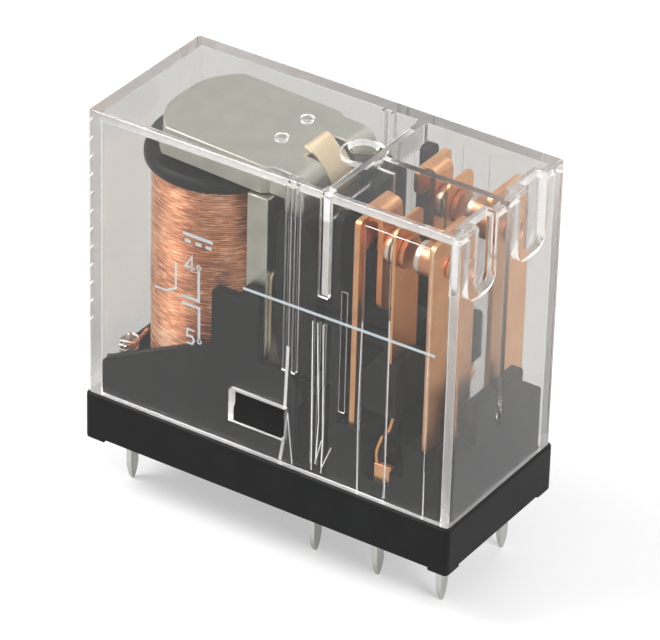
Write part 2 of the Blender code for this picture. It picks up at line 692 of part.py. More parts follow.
def make_cover():
    bottom = BAND_HEIGHT + COVER_FIT
    cover = rounded_block(
        "cover",
        COVER_X,
        COVER_Y,
        bottom,
        BODY_HEIGHT,
        BODY_CORNER,
        (0.0, COVER_EDGE),
        CLEAR_COVER,
    )
    inner_corner = 3 * COVER_FIT
    cavity = rounded_block(
        "cover cavity",
        INSIDE_X,
        INSIDE_Y,
        bottom - COVER_WALL,
        INSIDE_TOP,
        inner_corner,
        (0.0, inner_corner / 2),
    )
    cut(cover, cavity)

    # Ribs inside: one across beside the barrier, and a sheet between the poles with a point at the end wall.
    rooted = COVER_WALL / 2
    rib_right = BARRIER_LEFT - RIB_TO_BARRIER
    rib_left = rib_right - RIB
    wall_y = INSIDE_Y + rooted
    wall_x = INSIDE_X + rooted
    top = INSIDE_TOP + rooted
    weld(
        cover,
        block("cross rib", (rib_left, -wall_y, INSIDE_TOP - CROSS_RIB_DEPTH), (rib_right, wall_y, top)),
    )
    over_barrier = BARRIER_TOP + POLE_SHEET_GAP
    past_barrier = BARRIER_RIGHT + POLE_SHEET_GAP
    pole_sheet = [
        (rib_left, top),
        (rib_left, over_barrier),
        (past_barrier, over_barrier),
        (past_barrier, POLE_SHEET_BOTTOM),
        (INSIDE_X - POLE_SHEET_TIP, POLE_SHEET_BOTTOM),
        (INSIDE_X, POLE_SHEET_BOTTOM - POLE_SHEET_TIP),
        (wall_x, POLE_SHEET_BOTTOM - POLE_SHEET_TIP),
        (wall_x, top),
    ]
    weld(cover, prism("pole sheet", pole_sheet, "Y", -POLE_SHEET / 2, POLE_SHEET / 2))

    # On the inner face of the long walls: a guide at the cross rib, a pair beside the card, and thin ribs.
    guides = [("guide", (rib_left + rib_right) / 2, RIB * 1.5, GUIDE_RIB_FOOT, top)]
    for number in (-1, 1):
        x = GUIDE_PAIR_X + number * GUIDE_PAIR_SPACING / 2
        guides.append((f"pair {number}", x, RIB * 0.6, SIDE_WALL_TOP + THIN_RIB, top))
    for number in (-1, 0, 1):
        x = THIN_RIB_X + number * THIN_RIB_SPACING
        guides.append((f"thin {number}", x, THIN_RIB, bottom + COVER_WALL, THIN_RIB_TOP))
    guides.append(("post", POST_RIB[0], RIB * 0.9, POST_RIB[1], POST_RIB[2]))
    for word, side in sides():
        for label, x, width, low, high in guides:
            depth = GUIDE_RIB_DEPTH if high == top else THIN_RIB
            y0, y1 = across(side, INSIDE_Y - depth, wall_y)
            half = width / 2
            weld(cover, block(f"{label} rib {word}", (x - half, y0, low), (x + half, y1, high)))
        # Two shallow panels let into the inner face beside the contacts.
        x = PANEL_X
        for number, length in enumerate(PANEL_LENGTHS, 1):
            y0, y1 = across(side, INSIDE_Y - PANEL_DEPTH, INSIDE_Y + PANEL_DEPTH * number)
            low = (x, y0, bottom - COVER_WALL)
            cut(cover, block(f"panel {number} {word}", low, (x + length, y1, INSIDE_TOP - COVER_WALL)))
            x += length

    # The gate boss, with a dimple on its outer face, and two small pads over the armature.
    gate_x = rib_left - GATE_RADIUS / 2
    weld(
        cover,
        turned(
            "gate boss",
            [(GATE_RADIUS, INSIDE_TOP - GATE_DEPTH), (GATE_RADIUS, top)],
            "Z",
            gate_x,
            0.0,
        ),
    )
    dimple = GATE_RADIUS * 0.75
    cut(
        cover,
        turned(
            "gate dimple",
            [(dimple * 0.85, BODY_HEIGHT - GATE_DEPTH), (dimple, BODY_HEIGHT + COVER_WALL)],
            "Z",
            gate_x,
            0.0,
        ),
    )
    for word, side in sides():
        weld(
            cover,
            turned(
                f"pad {word}",
                [(NUB_RADIUS, INSIDE_TOP - NUB_HEIGHT), (NUB_RADIUS, top)],
                "Z",
                YOKE_FACE - NUB_TO_YOKE_FACE,
                side * CONTACT_Y / 2,
                steps=16,
            ),
        )

    # Two grooves in the end wall, open at the top, each with its own thin wall inside.
    for word, side in sides():
        grooved = []
        for grow, drop in ((RECESS_WALL, RECESS_WALL), (0.0, 0.0)):
            half = RECESS_WIDTH / 2 + grow
            radius = half * 0.7
            low = BODY_HEIGHT - RECESS_HEIGHT - drop
            high = top if grow else BODY_HEIGHT + COVER_WALL
            grooved.append(
                with_arcs(
                    [
                        (side * CONTACT_Y - half, low, radius),
                        (side * CONTACT_Y + half, low, radius),
                        (side * CONTACT_Y + half, high, 0),
                        (side * CONTACT_Y - half, high, 0),
                    ]
                )
            )
        floor = COVER_X - RECESS_DEPTH
        weld(cover, prism(f"groove wall {word}", grooved[0], "X", floor - RECESS_WALL, INSIDE_X + rooted))
        cut(cover, prism(f"groove {word}", grooved[1], "X", floor, COVER_X + COVER_WALL))

    # A window in each long wall snaps over a latch of the base.
    for word, side in sides():
        window_y = across(side, INSIDE_Y - COVER_WALL, COVER_Y + COVER_WALL)
        half = LATCH_LENGTH / 2 + LATCH_PLAY
        low = LATCH_BOTTOM - COVER_FIT
        high = LATCH_BOTTOM + LATCH_HEIGHT + LATCH_PLAY
        cut(
            cover,
            block(f"window {word}", (LATCH_X - half, window_y[0], low), (LATCH_X + half, window_y[1], high)),
        )
    return cover


def make_bobbin():
    bore = CORE_RADIUS + PRESS_FIT
    tube = bore + TUBE_WALL
    lip = FLANGE * 0.25
    profile = [
        (bore, BOBBIN_BOTTOM),
        (BOTTOM_FLANGE_RADIUS - lip, BOBBIN_BOTTOM),
        (BOTTOM_FLANGE_RADIUS, BOBBIN_BOTTOM + lip),
        (BOTTOM_FLANGE_RADIUS, BOBBIN_BOTTOM + FLANGE),
        (tube, BOBBIN_BOTTOM + FLANGE),
        (tube, BOBBIN_TOP - FLANGE),
        (TOP_FLANGE_RADIUS - lip, BOBBIN_TOP - FLANGE),
        (TOP_FLANGE_RADIUS, BOBBIN_TOP - FLANGE + lip),
        (TOP_FLANGE_RADIUS, BOBBIN_TOP - lip),
        (TOP_FLANGE_RADIUS - lip, BOBBIN_TOP),
        (bore, BOBBIN_TOP),
    ]
    return on_coil("bobbin", profile, BLACK_MOULDING, closed=True, steps=40)


def make_winding():
    inner = CORE_RADIUS + PRESS_FIT + TUBE_WALL + PRESS_FIT
    low = BOBBIN_BOTTOM + FLANGE + PRESS_FIT
    high = BOBBIN_TOP - FLANGE - PRESS_FIT
    soft = (WINDING_RADIUS - inner) * 0.12
    profile = [
        (inner, low),
        (WINDING_RADIUS - soft, low),
        (WINDING_RADIUS, low + soft),
        (WINDING_RADIUS, high - soft),
        (WINDING_RADIUS - soft, high),
        (inner, high),
    ]
    return on_coil("coil_winding", profile, COPPER_WIRE, closed=True, steps=40)


def make_core():
    neck = CORE_RADIUS * 0.7
    profile = [
        (neck, YOKE_BOTTOM + PRESS_FIT),
        (neck, YOKE_BOTTOM + YOKE_SHEET + PRESS_FIT),
        (CORE_RADIUS, YOKE_BOTTOM + YOKE_SHEET + PRESS_FIT),
        (CORE_RADIUS, YOKE_TOP - POLE_THICKNESS),
        (POLE_RADIUS, YOKE_TOP - POLE_THICKNESS),
        (POLE_RADIUS, YOKE_TOP),
    ]
    return on_coil("core", profile, NICKEL_STEEL)


def make_yoke():
    inner = YOKE_FACE - YOKE_SHEET
    toe = COIL_X - YOKE_TOE
    profile = with_arcs(
        [
            (toe, YOKE_BOTTOM, 0),
            (YOKE_FACE, YOKE_BOTTOM, YOKE_SHEET),
            (YOKE_FACE, YOKE_TOP, 0),
            (inner, YOKE_TOP, 0),
            (inner, YOKE_BOTTOM + YOKE_SHEET, YOKE_SHEET / 4),
            (toe, YOKE_BOTTOM + YOKE_SHEET, 0),
        ]
    )
    yoke = prism("yoke", profile, "Y", -YOKE_WIDTH / 2, YOKE_WIDTH / 2, NICKEL_STEEL)
    hole = CORE_RADIUS * 0.7 + PRESS_FIT
    low = YOKE_BOTTOM - YOKE_SHEET
    high = YOKE_BOTTOM + 2 * YOKE_SHEET
    cut(yoke, on_coil("yoke hole", [(hole, low), (hole, high)]))
    # Two bosses of the yoke are riveted over the hinge spring.
    head = YOKE_FACE + HINGE_SHEET + 2 * PRESS_FIT
    for word, side in sides():
        profile = [
            (RIVET_RADIUS, YOKE_FACE - YOKE_SHEET / 2),
            (RIVET_RADIUS, head),
            (RIVET_RADIUS * 1.5, head),
            (RIVET_RADIUS * 1.5, head + RIVET_HEAD / 2),
            (RIVET_RADIUS, head + RIVET_HEAD),
        ]
        weld(yoke, turned(f"yoke rivet {word}", profile, "X", side * RIVET_Y, RIVET_HEIGHT, steps=16))
    return yoke


def hinge_path():
    """The middle of the hinge spring, seen from the front: up the yoke, out through the leg's slot and back."""
    x = YOKE_FACE + PRESS_FIT + HINGE_SHEET / 2
    bulge = YOKE_FACE + HINGE_BULGE
    rest = ARMATURE_UNDER + ARMATURE_SHEET + HINGE_SHEET
    knots = [
        (x, HINGE_SHOULDER - HINGE_SHEET),
        (x + 0.08 * (bulge - x), HINGE_Z - 3.8 * Z_MM),
        (x + 0.5 * (bulge - x), HINGE_Z - 2.3 * Z_MM),
        (bulge, HINGE_Z - 1.1 * Z_MM),
        (bulge - 0.15 * MM, HINGE_Z - 0.3 * Z_MM),
        (bulge - 0.85 * MM, HINGE_Z + 0.7 * MM),
        (YOKE_FACE + 0.5 * MM, rest),
        (YOKE_FACE + 0.1 * MM, rest + 0.12 * MM),
    ]
    return smooth_path(knots)


def make_hinge_spring():
    left = YOKE_FACE + PRESS_FIT
    right = left + HINGE_SHEET
    half = HINGE_WIDTH / 2
    low = RIVET_HEIGHT - 2 * RIVET_RADIUS
    plate = with_arcs(
        [
            (-half, low, RIVET_RADIUS),
            (half, low, RIVET_RADIUS),
            (half, HINGE_SHOULDER, RIVET_RADIUS),
            (-half, HINGE_SHOULDER, RIVET_RADIUS),
        ]
    )
    spring = prism("hinge_spring", plate, "X", left, right, BRONZE)
    for word, side in sides():
        hole = RIVET_RADIUS + PRESS_FIT
        ends = [(hole, left - HINGE_SHEET), (hole, right + HINGE_SHEET)]
        cut(spring, turned(f"spring hole {word}", ends, "X", side * RIVET_Y, RIVET_HEIGHT, steps=16))
    tongue = strip_outline(hinge_path(), HINGE_SHEET)
    half = HINGE_TONGUE / 2
    return weld(spring, prism("hinge tongue", tongue, "Y", -half, half))


def make_armature():
    under = ARMATURE_UNDER
    over = under + ARMATURE_SHEET
    leg_right = LEG_LEFT + ARMATURE_SHEET
    tip = HINGE_X - ARMATURE_REACH
    profile = with_arcs(
        [
            (tip, under, 0),
            (LEG_LEFT, under, ARMATURE_SHEET / 4),
            (LEG_LEFT, HINGE_Z - LEG_LENGTH, 0),
            (leg_right, HINGE_Z - LEG_LENGTH, 0),
            (leg_right, over, ARMATURE_SHEET * 0.9),
            (tip, over, ARMATURE_SHEET / 3),
        ]
    )
    half = ARMATURE_WIDTH / 2
    armature = prism("armature", profile, "Y", -half, half, NICKEL_STEEL, ARMATURE_PIVOT)

    # Seen from above, the end over the coil is an arc, and the leg is narrower than the plate.
    radius = (half**2 + ARMATURE_NOSE**2) / (2 * ARMATURE_NOSE)
    spread = math.asin(half / radius)
    steps = 4 * ARC_STEPS
    nose = [
        (
            tip + radius - radius * math.cos(spread * (2 * step / steps - 1)),
            radius * math.sin(spread * (2 * step / steps - 1)),
        )
        for step in range(steps + 1)
    ]
    beyond = leg_right + ARMATURE_SHEET
    spread_y = LEG_SPREAD / 2
    shoulder = YOKE_FACE - YOKE_SHEET / 2
    plan = nose + [
        (shoulder, half),
        (shoulder + (half - spread_y), spread_y),
        (beyond, spread_y),
        (beyond, -spread_y),
        (shoulder + (half - spread_y), -spread_y),
        (shoulder, -half),
    ]
    low = HINGE_Z - 2 * LEG_LENGTH
    outline = prism("armature outline", plan, "Z", low, over + ARMATURE_SHEET, parent=ARMATURE_PIVOT)
    combine(armature, outline, "INTERSECT")
    slot = block(
        "leg slot",
        (YOKE_FACE + LEG_GAP / 2, -LEG_SLOT / 2, low),
        (beyond, LEG_SLOT / 2, over + ARMATURE_SHEET),
        parent=ARMATURE_PIVOT,
    )
    return cut(armature, slot)


def arm_tip():
    """Where the arm ends with the armature drawn in, so that at rest it lies against the moving spring."""
    reach = SPRING_LEFT - ARM_PLAY - HINGE_X
    drop = HINGE_Z - ARM_Z
    return HINGE_X + (reach + drop * math.sin(OPEN_ANGLE)) / math.cos(OPEN_ANGLE)


def make_card():
    left = LEG_LEFT - CARD_SKIN
    leg_right = LEG_LEFT + ARMATURE_SHEET
    half = CARD_WIDTH / 2
    soft = CARD_SKIN * 2
    profile = with_arcs(
        [
            (left, HINGE_Z - LEG_LENGTH - soft, 0),
            (left + LEG_GAP, CARD_BOTTOM, soft),
            (CARD_RIGHT, CARD_BOTTOM, soft),
            (CARD_RIGHT, CARD_TOP - CARD_SLOPE, soft),
            (leg_right + CARD_SKIN + soft, CARD_TOP, soft),
            (left, CARD_TOP, 0),
        ]
    )
    card = prism("card", profile, "Y", -half, half, BLACK_MOULDING, ARMATURE_PIVOT)
    tip = arm_tip()
    nose = ARM_HEIGHT / 4
    for word, side in sides():
        arm = with_arcs(
            [
                (CARD_RIGHT - soft, ARM_BOTTOM, 0),
                (tip, ARM_BOTTOM, nose),
                (tip, ARM_BOTTOM + ARM_HEIGHT, nose),
                (CARD_RIGHT - soft, ARM_BOTTOM + ARM_HEIGHT, 0),
            ]
        )
        arm_y = across(side, CONTACT_Y - ARM_WIDTH / 2, CONTACT_Y + ARM_WIDTH / 2)
        weld(card, prism(f"arm {word}", arm, "Y", *arm_y, parent=ARMATURE_PIVOT))
        pocket_y = across(side, LEG_SLOT / 2 - PRESS_FIT, LEG_SPREAD / 2 + PRESS_FIT)
        pocket = block(
            f"leg pocket {word}",
            (LEG_LEFT - PRESS_FIT, pocket_y[0], HINGE_Z - LEG_LENGTH - PRESS_FIT),
            (leg_right + PRESS_FIT, pocket_y[1], CARD_TOP + CARD_SKIN),
            parent=ARMATURE_PIVOT,
        )
        cut(card, pocket)
    # Above the leg's own slot the card is open for the hinge spring.
    tongue_slot = block(
        "card slot",
        (left - CARD_SKIN, -LEG_SLOT / 2, HINGE_SHOULDER),
        (CARD_RIGHT + CARD_SKIN, LEG_SLOT / 2, CARD_TOP + CARD_SKIN),
        parent=ARMATURE_PIVOT,
    )
    return cut(card, tongue_slot)


def spring_path():
    """The middle of a moving spring, seen from the front: an S from its foot, then straight up to the contact."""
    span = FOOT_BLOCK_BOTTOM - SPRING_FOOT_Z
    knots = [
        (SPRING_FOOT_X, SPRING_FOOT_Z),
        (SPRING_FOOT_X - 0.03 * MM, SPRING_FOOT_Z + 0.28 * span),
        (SPRING_FOOT_X + 0.6 * (SPRING_WAIST_X - SPRING_FOOT_X), SPRING_FOOT_Z + 0.62 * span),
        (SPRING_WAIST_X, SPRING_FOOT_Z + 0.88 * span),
        (SPRING_WAIST_X, FOOT_BLOCK_BOTTOM + 0.1 * span),
        (SPRING_X + 0.07 * MM, FOOT_BLOCK_BOTTOM + 0.4 * span),
    ]
    straight = FOOT_BLOCK_BOTTOM + 0.6 * span
    return smooth_path(knots + [(SPRING_X, straight), (SPRING_X, straight + 0.1 * span)])


def full_spring_path():
    return spring_path() + [(SPRING_X, SPRING_TOP)]


def make_moving_spring(word, side, pivot):
    half = SPRING_WIDTH / 2
    outline = strip_outline(full_spring_path(), SPRING_SHEET)
    outer = LEG_OUTER_Y
    wide = across(side, CONTACT_Y - half, outer)
    spring = prism(f"moving_spring_{word}", outline, "Y", *wide, SPRING_COPPER, pivot)

    # Below the moulded block only a narrow strip at the outer edge goes on, out to the terminal.
    strip = SPRING_WIDTH * 0.4
    beyond = SPRING_WIDTH
    low = SPRING_FOOT_Z - beyond
    foot_top = spring_path()[8][1]
    for label, near, bottom, top in (
        ("waist", (0.0, CONTACT_Y + half - strip), low, FOOT_BLOCK_BOTTOM + FOOT_BLOCK_WALL),
        ("side", (CONTACT_Y + half, outer + beyond), foot_top, SPRING_TOP + beyond),
    ):
        cutter_y = across(side, *near)
        cutter = block(
            f"spring {label} {word}",
            (SPRING_FOOT_X - beyond, cutter_y[0], bottom),
            (SPRING_WAIST_X + beyond, cutter_y[1], top),
            parent=pivot,
        )
        cut(spring, cutter)
    y0, y1 = across(side, CONTACT_Y - half, CONTACT_Y + half)

    # The top corners are rounded, and the contact's shank passes through a hole.
    radius = SPRING_WIDTH * 0.22
    outline = with_arcs(
        [
            (y0 - beyond, low, 0),
            (y1 + beyond, low, 0),
            (y1 + beyond, FOOT_BLOCK_TOP, 0),
            (y1, FOOT_BLOCK_TOP + FOOT_BLOCK_WALL, 0),
            (y1, SPRING_TOP, radius),
            (y0, SPRING_TOP, radius),
            (y0, FOOT_BLOCK_TOP + FOOT_BLOCK_WALL, 0),
            (y0 - beyond, FOOT_BLOCK_TOP, 0),
        ]
    )
    left = SPRING_FOOT_X - beyond
    right = SPRING_WAIST_X + beyond
    top = prism(f"spring outline {word}", outline, "X", left, right, parent=pivot)
    combine(spring, top, "INTERSECT")
    hole = SHANK_RADIUS + PRESS_FIT
    ends = [(hole, SPRING_LEFT - SPRING_SHEET), (hole, SPRING_RIGHT + SPRING_SHEET)]
    return cut(
        spring,
        turned(f"shank hole {word}", ends, "X", side * CONTACT_Y, CONTACT_HEIGHT, parent=pivot, steps=20),
    )


def make_spring_block(word, side, pivot):
    right = SPRING_X + SPRING_SHEET / 2 + FOOT_BLOCK_RIGHT
    left = SPRING_X - FOOT_BLOCK_LEFT
    soft = FOOT_BLOCK_WALL / 2
    profile = with_arcs(
        [
            (left - SHOULDER_REACH, FOOT_BLOCK_BOTTOM, 0),
            (right, FOOT_BLOCK_BOTTOM, soft),
            (right, FOOT_BLOCK_TOP, soft),
            (left, FOOT_BLOCK_TOP, soft),
            (left - SHOULDER_REACH, SHOULDER_TOP, FOOT_BLOCK_WALL),
        ]
    )
    half = SPRING_WIDTH / 2
    y0, y1 = across(side, CONTACT_Y - half - FOOT_BLOCK_WALL, CONTACT_Y + half + FOOT_BLOCK_WALL)
    body = prism(f"spring_block_{word}", profile, "Y", y0, y1, BLACK_MOULDING, pivot)

    # Seen from the end, its top corners are round.
    beyond = FOOT_BLOCK_WALL
    rounding = with_arcs(
        [
            (y0, FOOT_BLOCK_BOTTOM - beyond, 0),
            (y1, FOOT_BLOCK_BOTTOM - beyond, 0),
            (y1, FOOT_BLOCK_TOP, FOOT_BLOCK_ROUND),
            (y0, FOOT_BLOCK_TOP, FOOT_BLOCK_ROUND),
        ]
    )
    ends = (left - SHOULDER_REACH - beyond, right + beyond)
    combine(body, prism(f"block rounding {word}", rounding, "X", *ends, parent=pivot), "INTERSECT")
    slot_y = across(side, CONTACT_Y - half - PRESS_FIT, CONTACT_Y + half + PRESS_FIT)
    slot = prism(
        f"spring slot {word}",
        strip_outline(full_spring_path(), SPRING_SHEET + 2 * PRESS_FIT),
        "Y",
        *slot_y,
        parent=pivot,
    )
    return cut(body, slot)


def make_moving_contact(word, side, pivot):
    head = CONTACT_HEAD - CONTACT_CROWN
    left = SPRING_LEFT - PRESS_FIT
    right = SPRING_RIGHT + PRESS_FIT
    profile = [
        (CONTACT_RADIUS * 0.3, SPRING_LEFT - CONTACT_HEAD),
        (CONTACT_RADIUS * 0.75, SPRING_LEFT - head - CONTACT_CROWN * 0.5),
        (CONTACT_RADIUS, SPRING_LEFT - head),
        (CONTACT_RADIUS, left),
        (SHANK_RADIUS, left),
        (SHANK_RADIUS, right),
        (CONTACT_RADIUS, right),
        (CONTACT_RADIUS, SPRING_RIGHT + head),
        (CONTACT_RADIUS * 0.75, SPRING_RIGHT + head + CONTACT_CROWN * 0.5),
        (CONTACT_RADIUS * 0.3, SPRING_RIGHT + CONTACT_HEAD),
    ]
    name = f"moving_contact_{word}"
    return turned(name, profile, "X", side * CONTACT_Y, CONTACT_HEIGHT, SILVER, parent=pivot)


def fixed_contact(name, side, face, plate_near, plate_far):
    """A riveted contact: a flat head towards the moving contact, and a tail behind the plate."""
    away = math.copysign(1.0, plate_far - plate_near)
    soft = CONTACT_CROWN / 2
    profile = [
        (CONTACT_RADIUS - soft, face),
        (CONTACT_RADIUS, face + away * soft),
        (CONTACT_RADIUS, plate_near - away * PRESS_FIT),
        (SHANK_RADIUS, plate_near - away * PRESS_FIT),
        (SHANK_RADIUS, plate_far + away * PRESS_FIT),
        (TAIL_RADIUS, plate_far + away * PRESS_FIT),
        (TAIL_RADIUS * 0.9, plate_far + away * (PRESS_FIT + TAIL)),
    ]
    return turned(name, profile, "X", side * CONTACT_Y, CONTACT_HEIGHT, SILVER)


def shank_hole(name, side, near, far):
    hole = SHANK_RADIUS + PRESS_FIT
    ends = [(hole, min(near, far) - TERMINAL_SHEET), (hole, max(near, far) + TERMINAL_SHEET)]
    return turned(name, ends, "X", side * CONTACT_Y, CONTACT_HEIGHT, steps=20)


def make_nc_terminal(word, side):
    name = f"nc_terminal_{word}"
    body = terminal(name, nc_boxes(side), NC_PIN_X, side, COPPER_SHEET)

    # A bridge across the top of the leg carries a tongue, set forward to meet the moving contact.
    bridge_low = PLATE_TOP - NC_BRIDGE
    inner = CONTACT_Y - SPRING_WIDTH / 2
    outer = LEG_OUTER_Y
    radius = NC_BRIDGE * 0.25
    plan = with_arcs(
        [
            (side * inner, bridge_low, radius),
            (side * outer, bridge_low - NC_BRIDGE / 2, 0),
            (side * outer, PLATE_TOP, radius),
            (side * inner, PLATE_TOP, radius),
        ]
    )
    bridge = prism(f"{name} bridge", plan, "X", NC_PLATE_RIGHT - TERMINAL_SHEET, NC_PLATE_RIGHT)
    weld(body, bridge)
    middle = NC_PLATE_RIGHT - TERMINAL_SHEET / 2
    forward = NC_TONGUE_RIGHT - TERMINAL_SHEET / 2
    bend = TERMINAL_SHEET * 0.9
    shelf = PLATE_TOP - TERMINAL_SHEET / 2
    path = with_arcs(
        [
            (middle, bridge_low, 0),
            (middle, shelf, bend),
            (forward, shelf, bend),
            (forward, NC_TONGUE_BOTTOM, 0),
        ],
        closed=False,
    )
    half = NC_TONGUE_WIDTH / 2
    tongue_y = across(side, CONTACT_Y - half, CONTACT_Y + half)
    tongue = prism(f"{name} tongue", strip_outline(path, TERMINAL_SHEET), "Y", *tongue_y)
    ends = [(side * CONTACT_Y - half, NC_TONGUE_BOTTOM), (side * CONTACT_Y + half, NC_TONGUE_BOTTOM)]
    above = PLATE_TOP + TERMINAL_SHEET
    rounding = with_arcs(
        [
            (ends[0][0], NC_TONGUE_BOTTOM, half * 0.9),
            (ends[1][0], NC_TONGUE_BOTTOM, half * 0.9),
            (ends[1][0], above, 0),
            (ends[0][0], above, 0),
        ]
    )
    shape = prism(f"{name} tongue outline", rounding, "X", middle - NC_SETBACK, forward + NC_SETBACK)
    combine(tongue, shape, "INTERSECT")
    weld(body, tongue)
    near = NC_TONGUE_RIGHT
    far = NC_TONGUE_RIGHT - TERMINAL_SHEET
    return cut(body, shank_hole(f"{name} shank hole", side, near, far))


def make_no_terminal(word, side):
    name = f"no_terminal_{word}"
    body = terminal(name, no_boxes(side), NO_PIN_X, side, COPPER_SHEET)
    y0, y1 = across(side, NO_PLATE_INNER, LEG_OUTER_Y)
    radius = (y1 - y0) * 0.15
    plan = with_arcs(
        [
            (y0, CONTACT_BLOCK_TOP - TERMINAL_SHEET, 0),
            (y1, CONTACT_BLOCK_TOP - TERMINAL_SHEET, 0),
            (y1, PLATE_TOP, radius),
            (y0, PLATE_TOP, radius),
        ]
    )
    weld(body, prism(f"{name} plate", plan, "X", NO_PLATE_LEFT, NO_PLATE_RIGHT))
    return cut(body, shank_hole(f"{name} shank hole", side, NO_PLATE_LEFT, NO_PLATE_RIGHT))


def make_coil_terminal(word, side):
    name = f"coil_terminal_{word}"
    body = terminal(name, coil_boxes(side), COIL_PIN_X, side, TINNED)
    start = COIL_POST_TOP - PIN_POINT
    return weld(body, pin_tip(f"{name} post tip", COIL_PIN_X, side, start, COIL_POST_TOP))


def make_coil_lead(word, side):
    """A few turns round the post, then a run to the winding."""
    reach_x = TERMINAL_SHEET / 2 + LEAD_RADIUS + PRESS_FIT * 2
    reach_y = PIN_WIDTH / 2 + LEAD_RADIUS + PRESS_FIT * 2
    low = BOBBIN_BOTTOM + FLANGE
    steps = 12
    points = []
    for step in range(LEAD_TURNS * steps + steps // 4 + 1):
        turn = 2 * math.pi * step / steps
        bulge = 1.0 + 0.3 * abs(math.sin(2 * turn))
        points.append(
            (
                COIL_PIN_X - reach_x * math.cos(turn) * bulge,
                side * (PIN_Y + reach_y * math.sin(turn) * bulge),
                low + LEAD_PITCH * step / steps,
            )
        )
    last = Vector(points[-1])
    away = math.atan2(PIN_Y * side, COIL_PIN_X - COIL_X)
    reach = WINDING_RADIUS + LEAD_RADIUS + PRESS_FIT
    landing_x = COIL_X + reach * math.cos(away) * COIL_OVAL
    landing = Vector((landing_x, reach * math.sin(away), last.z + 2 * LEAD_PITCH))
    clear = Vector((COIL_PIN_X + 2.5 * reach_x, last.y, last.z + LEAD_PITCH / 2))
    run = [last.lerp(clear, 0.5), clear, clear.lerp(landing, 0.5), landing]
    curve = bpy.data.curves.new(f"coil_lead_{word}", "CURVE")
    curve.dimensions = "3D"
    curve.bevel_depth = LEAD_RADIUS
    curve.bevel_resolution = 1
    curve.use_fill_caps = True
    spline = curve.splines.new("POLY")
    route = points + [tuple(point) for point in run]
    spline.points.add(len(route) - 1)
    for place, point in zip(spline.points, route):
        place.co = (*point, 1.0)
    curve.materials.append(COPPER_WIRE)
    lead = bpy.data.objects.new(f"coil_lead_{word}", curve)
    lead.parent = RELAY
    bpy.context.scene.collection.objects.link(lead)
    return lead


make_base()
make_cover()
make_bobbin()
make_winding()
make_core()
make_yoke()
make_hinge_spring()
make_armature()
make_card()
for word, side in sides():
    make_coil_terminal(word, side)
    make_coil_lead(word, side)
    make_nc_terminal(word, side)
    make_no_terminal(word, side)
    terminal(f"com_terminal_{word}", com_boxes(side), COM_PIN_X, side, COPPER_SHEET)
    nc_far = NC_TONGUE_RIGHT - TERMINAL_SHEET
    fixed_contact(f"nc_contact_{word}", side, NC_TONGUE_RIGHT + CONTACT_HEAD, NC_TONGUE_RIGHT, nc_far)
    fixed_contact(f"no_contact_{word}", side, NO_FACE, NO_PLATE_LEFT, NO_PLATE_RIGHT)
    pivot = empty(f"spring_pivot_{word}", (SPRING_FOOT_X, side * CONTACT_Y, SPRING_FOOT_Z), RELAY)
    make_moving_spring(word, side, pivot)
    make_spring_block(word, side, pivot)
    make_moving_contact(word, side, pivot)
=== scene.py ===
import math

import bmesh
import bpy
from mathutils import Matrix, Vector


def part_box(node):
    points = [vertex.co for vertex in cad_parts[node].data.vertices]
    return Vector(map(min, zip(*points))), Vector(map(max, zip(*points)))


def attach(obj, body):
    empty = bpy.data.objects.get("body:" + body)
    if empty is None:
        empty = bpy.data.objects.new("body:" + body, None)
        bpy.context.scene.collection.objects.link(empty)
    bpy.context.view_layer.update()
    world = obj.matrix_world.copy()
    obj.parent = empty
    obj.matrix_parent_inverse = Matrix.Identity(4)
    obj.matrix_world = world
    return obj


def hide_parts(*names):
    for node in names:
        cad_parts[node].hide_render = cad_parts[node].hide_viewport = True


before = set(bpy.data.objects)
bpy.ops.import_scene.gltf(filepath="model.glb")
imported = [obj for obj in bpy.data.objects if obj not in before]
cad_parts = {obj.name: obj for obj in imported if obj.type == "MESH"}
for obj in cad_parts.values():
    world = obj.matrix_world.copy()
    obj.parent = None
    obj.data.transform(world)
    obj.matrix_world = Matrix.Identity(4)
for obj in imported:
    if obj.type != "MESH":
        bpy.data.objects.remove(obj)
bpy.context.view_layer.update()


# Camera: it stands in front of the relay, to the right and above, well back with a long lens, and is tipped a
# little to one side. Lengths in this file are in metres, so the relay is 0.029 long.
FILM_WIDTH = 36.0
LENS_LENGTH = 262.96
STANDPOINT = (0.14728, -0.22727, 0.18251)
LINE_OF_SIGHT = (-0.46097, 0.71512, -0.52546)
SIDEWAYS_TIP = math.radians(1.567)

view = bpy.data.cameras.new("photographer")
view.sensor_width = FILM_WIDTH
view.lens = LENS_LENGTH
view.clip_start = 0.01
photographer = bpy.data.objects.new("photographer", view)
forward = Vector(LINE_OF_SIGHT).normalized()
level = forward.cross(Vector((0.0, 0.0, 1.0))).normalized()
upright = level.cross(forward)
right = level * math.cos(SIDEWAYS_TIP) + upright * math.sin(SIDEWAYS_TIP)
top = upright * math.cos(SIDEWAYS_TIP) - level * math.sin(SIDEWAYS_TIP)
turned = Matrix((right, top, -forward)).transposed().to_4x4()
photographer.matrix_world = Matrix.Translation(STANDPOINT) @ turned
bpy.context.scene.collection.objects.link(photographer)
bpy.context.scene.camera = photographer
bpy.context.scene.view_settings.view_transform = "Standard"


# Base: one moulding in black glass-filled polyester, with the band that shows under the cover, the walls of
# the coil bay, the comb between coil and contacts, and the blocks that grip the terminals.
MM = 0.001
BASE_COLOUR = (0.008, 0.0083, 0.0083)
BASE_ROUGHNESS = 0.46
BASE_EDGE = 0.07 * MM
MOULD_GRAIN = 9000.0
MOULD_DEPTH = 0.0001 * MM
MOULD_CLOUDS = 450.0
PLASTIC_SHINE = 0.15
WELD_GAP = 0.002 * MM
FLAT_ENOUGH = math.radians(1.0)
SHARP_EDGE = math.radians(35)
SMOOTH_BEND = math.radians(50)


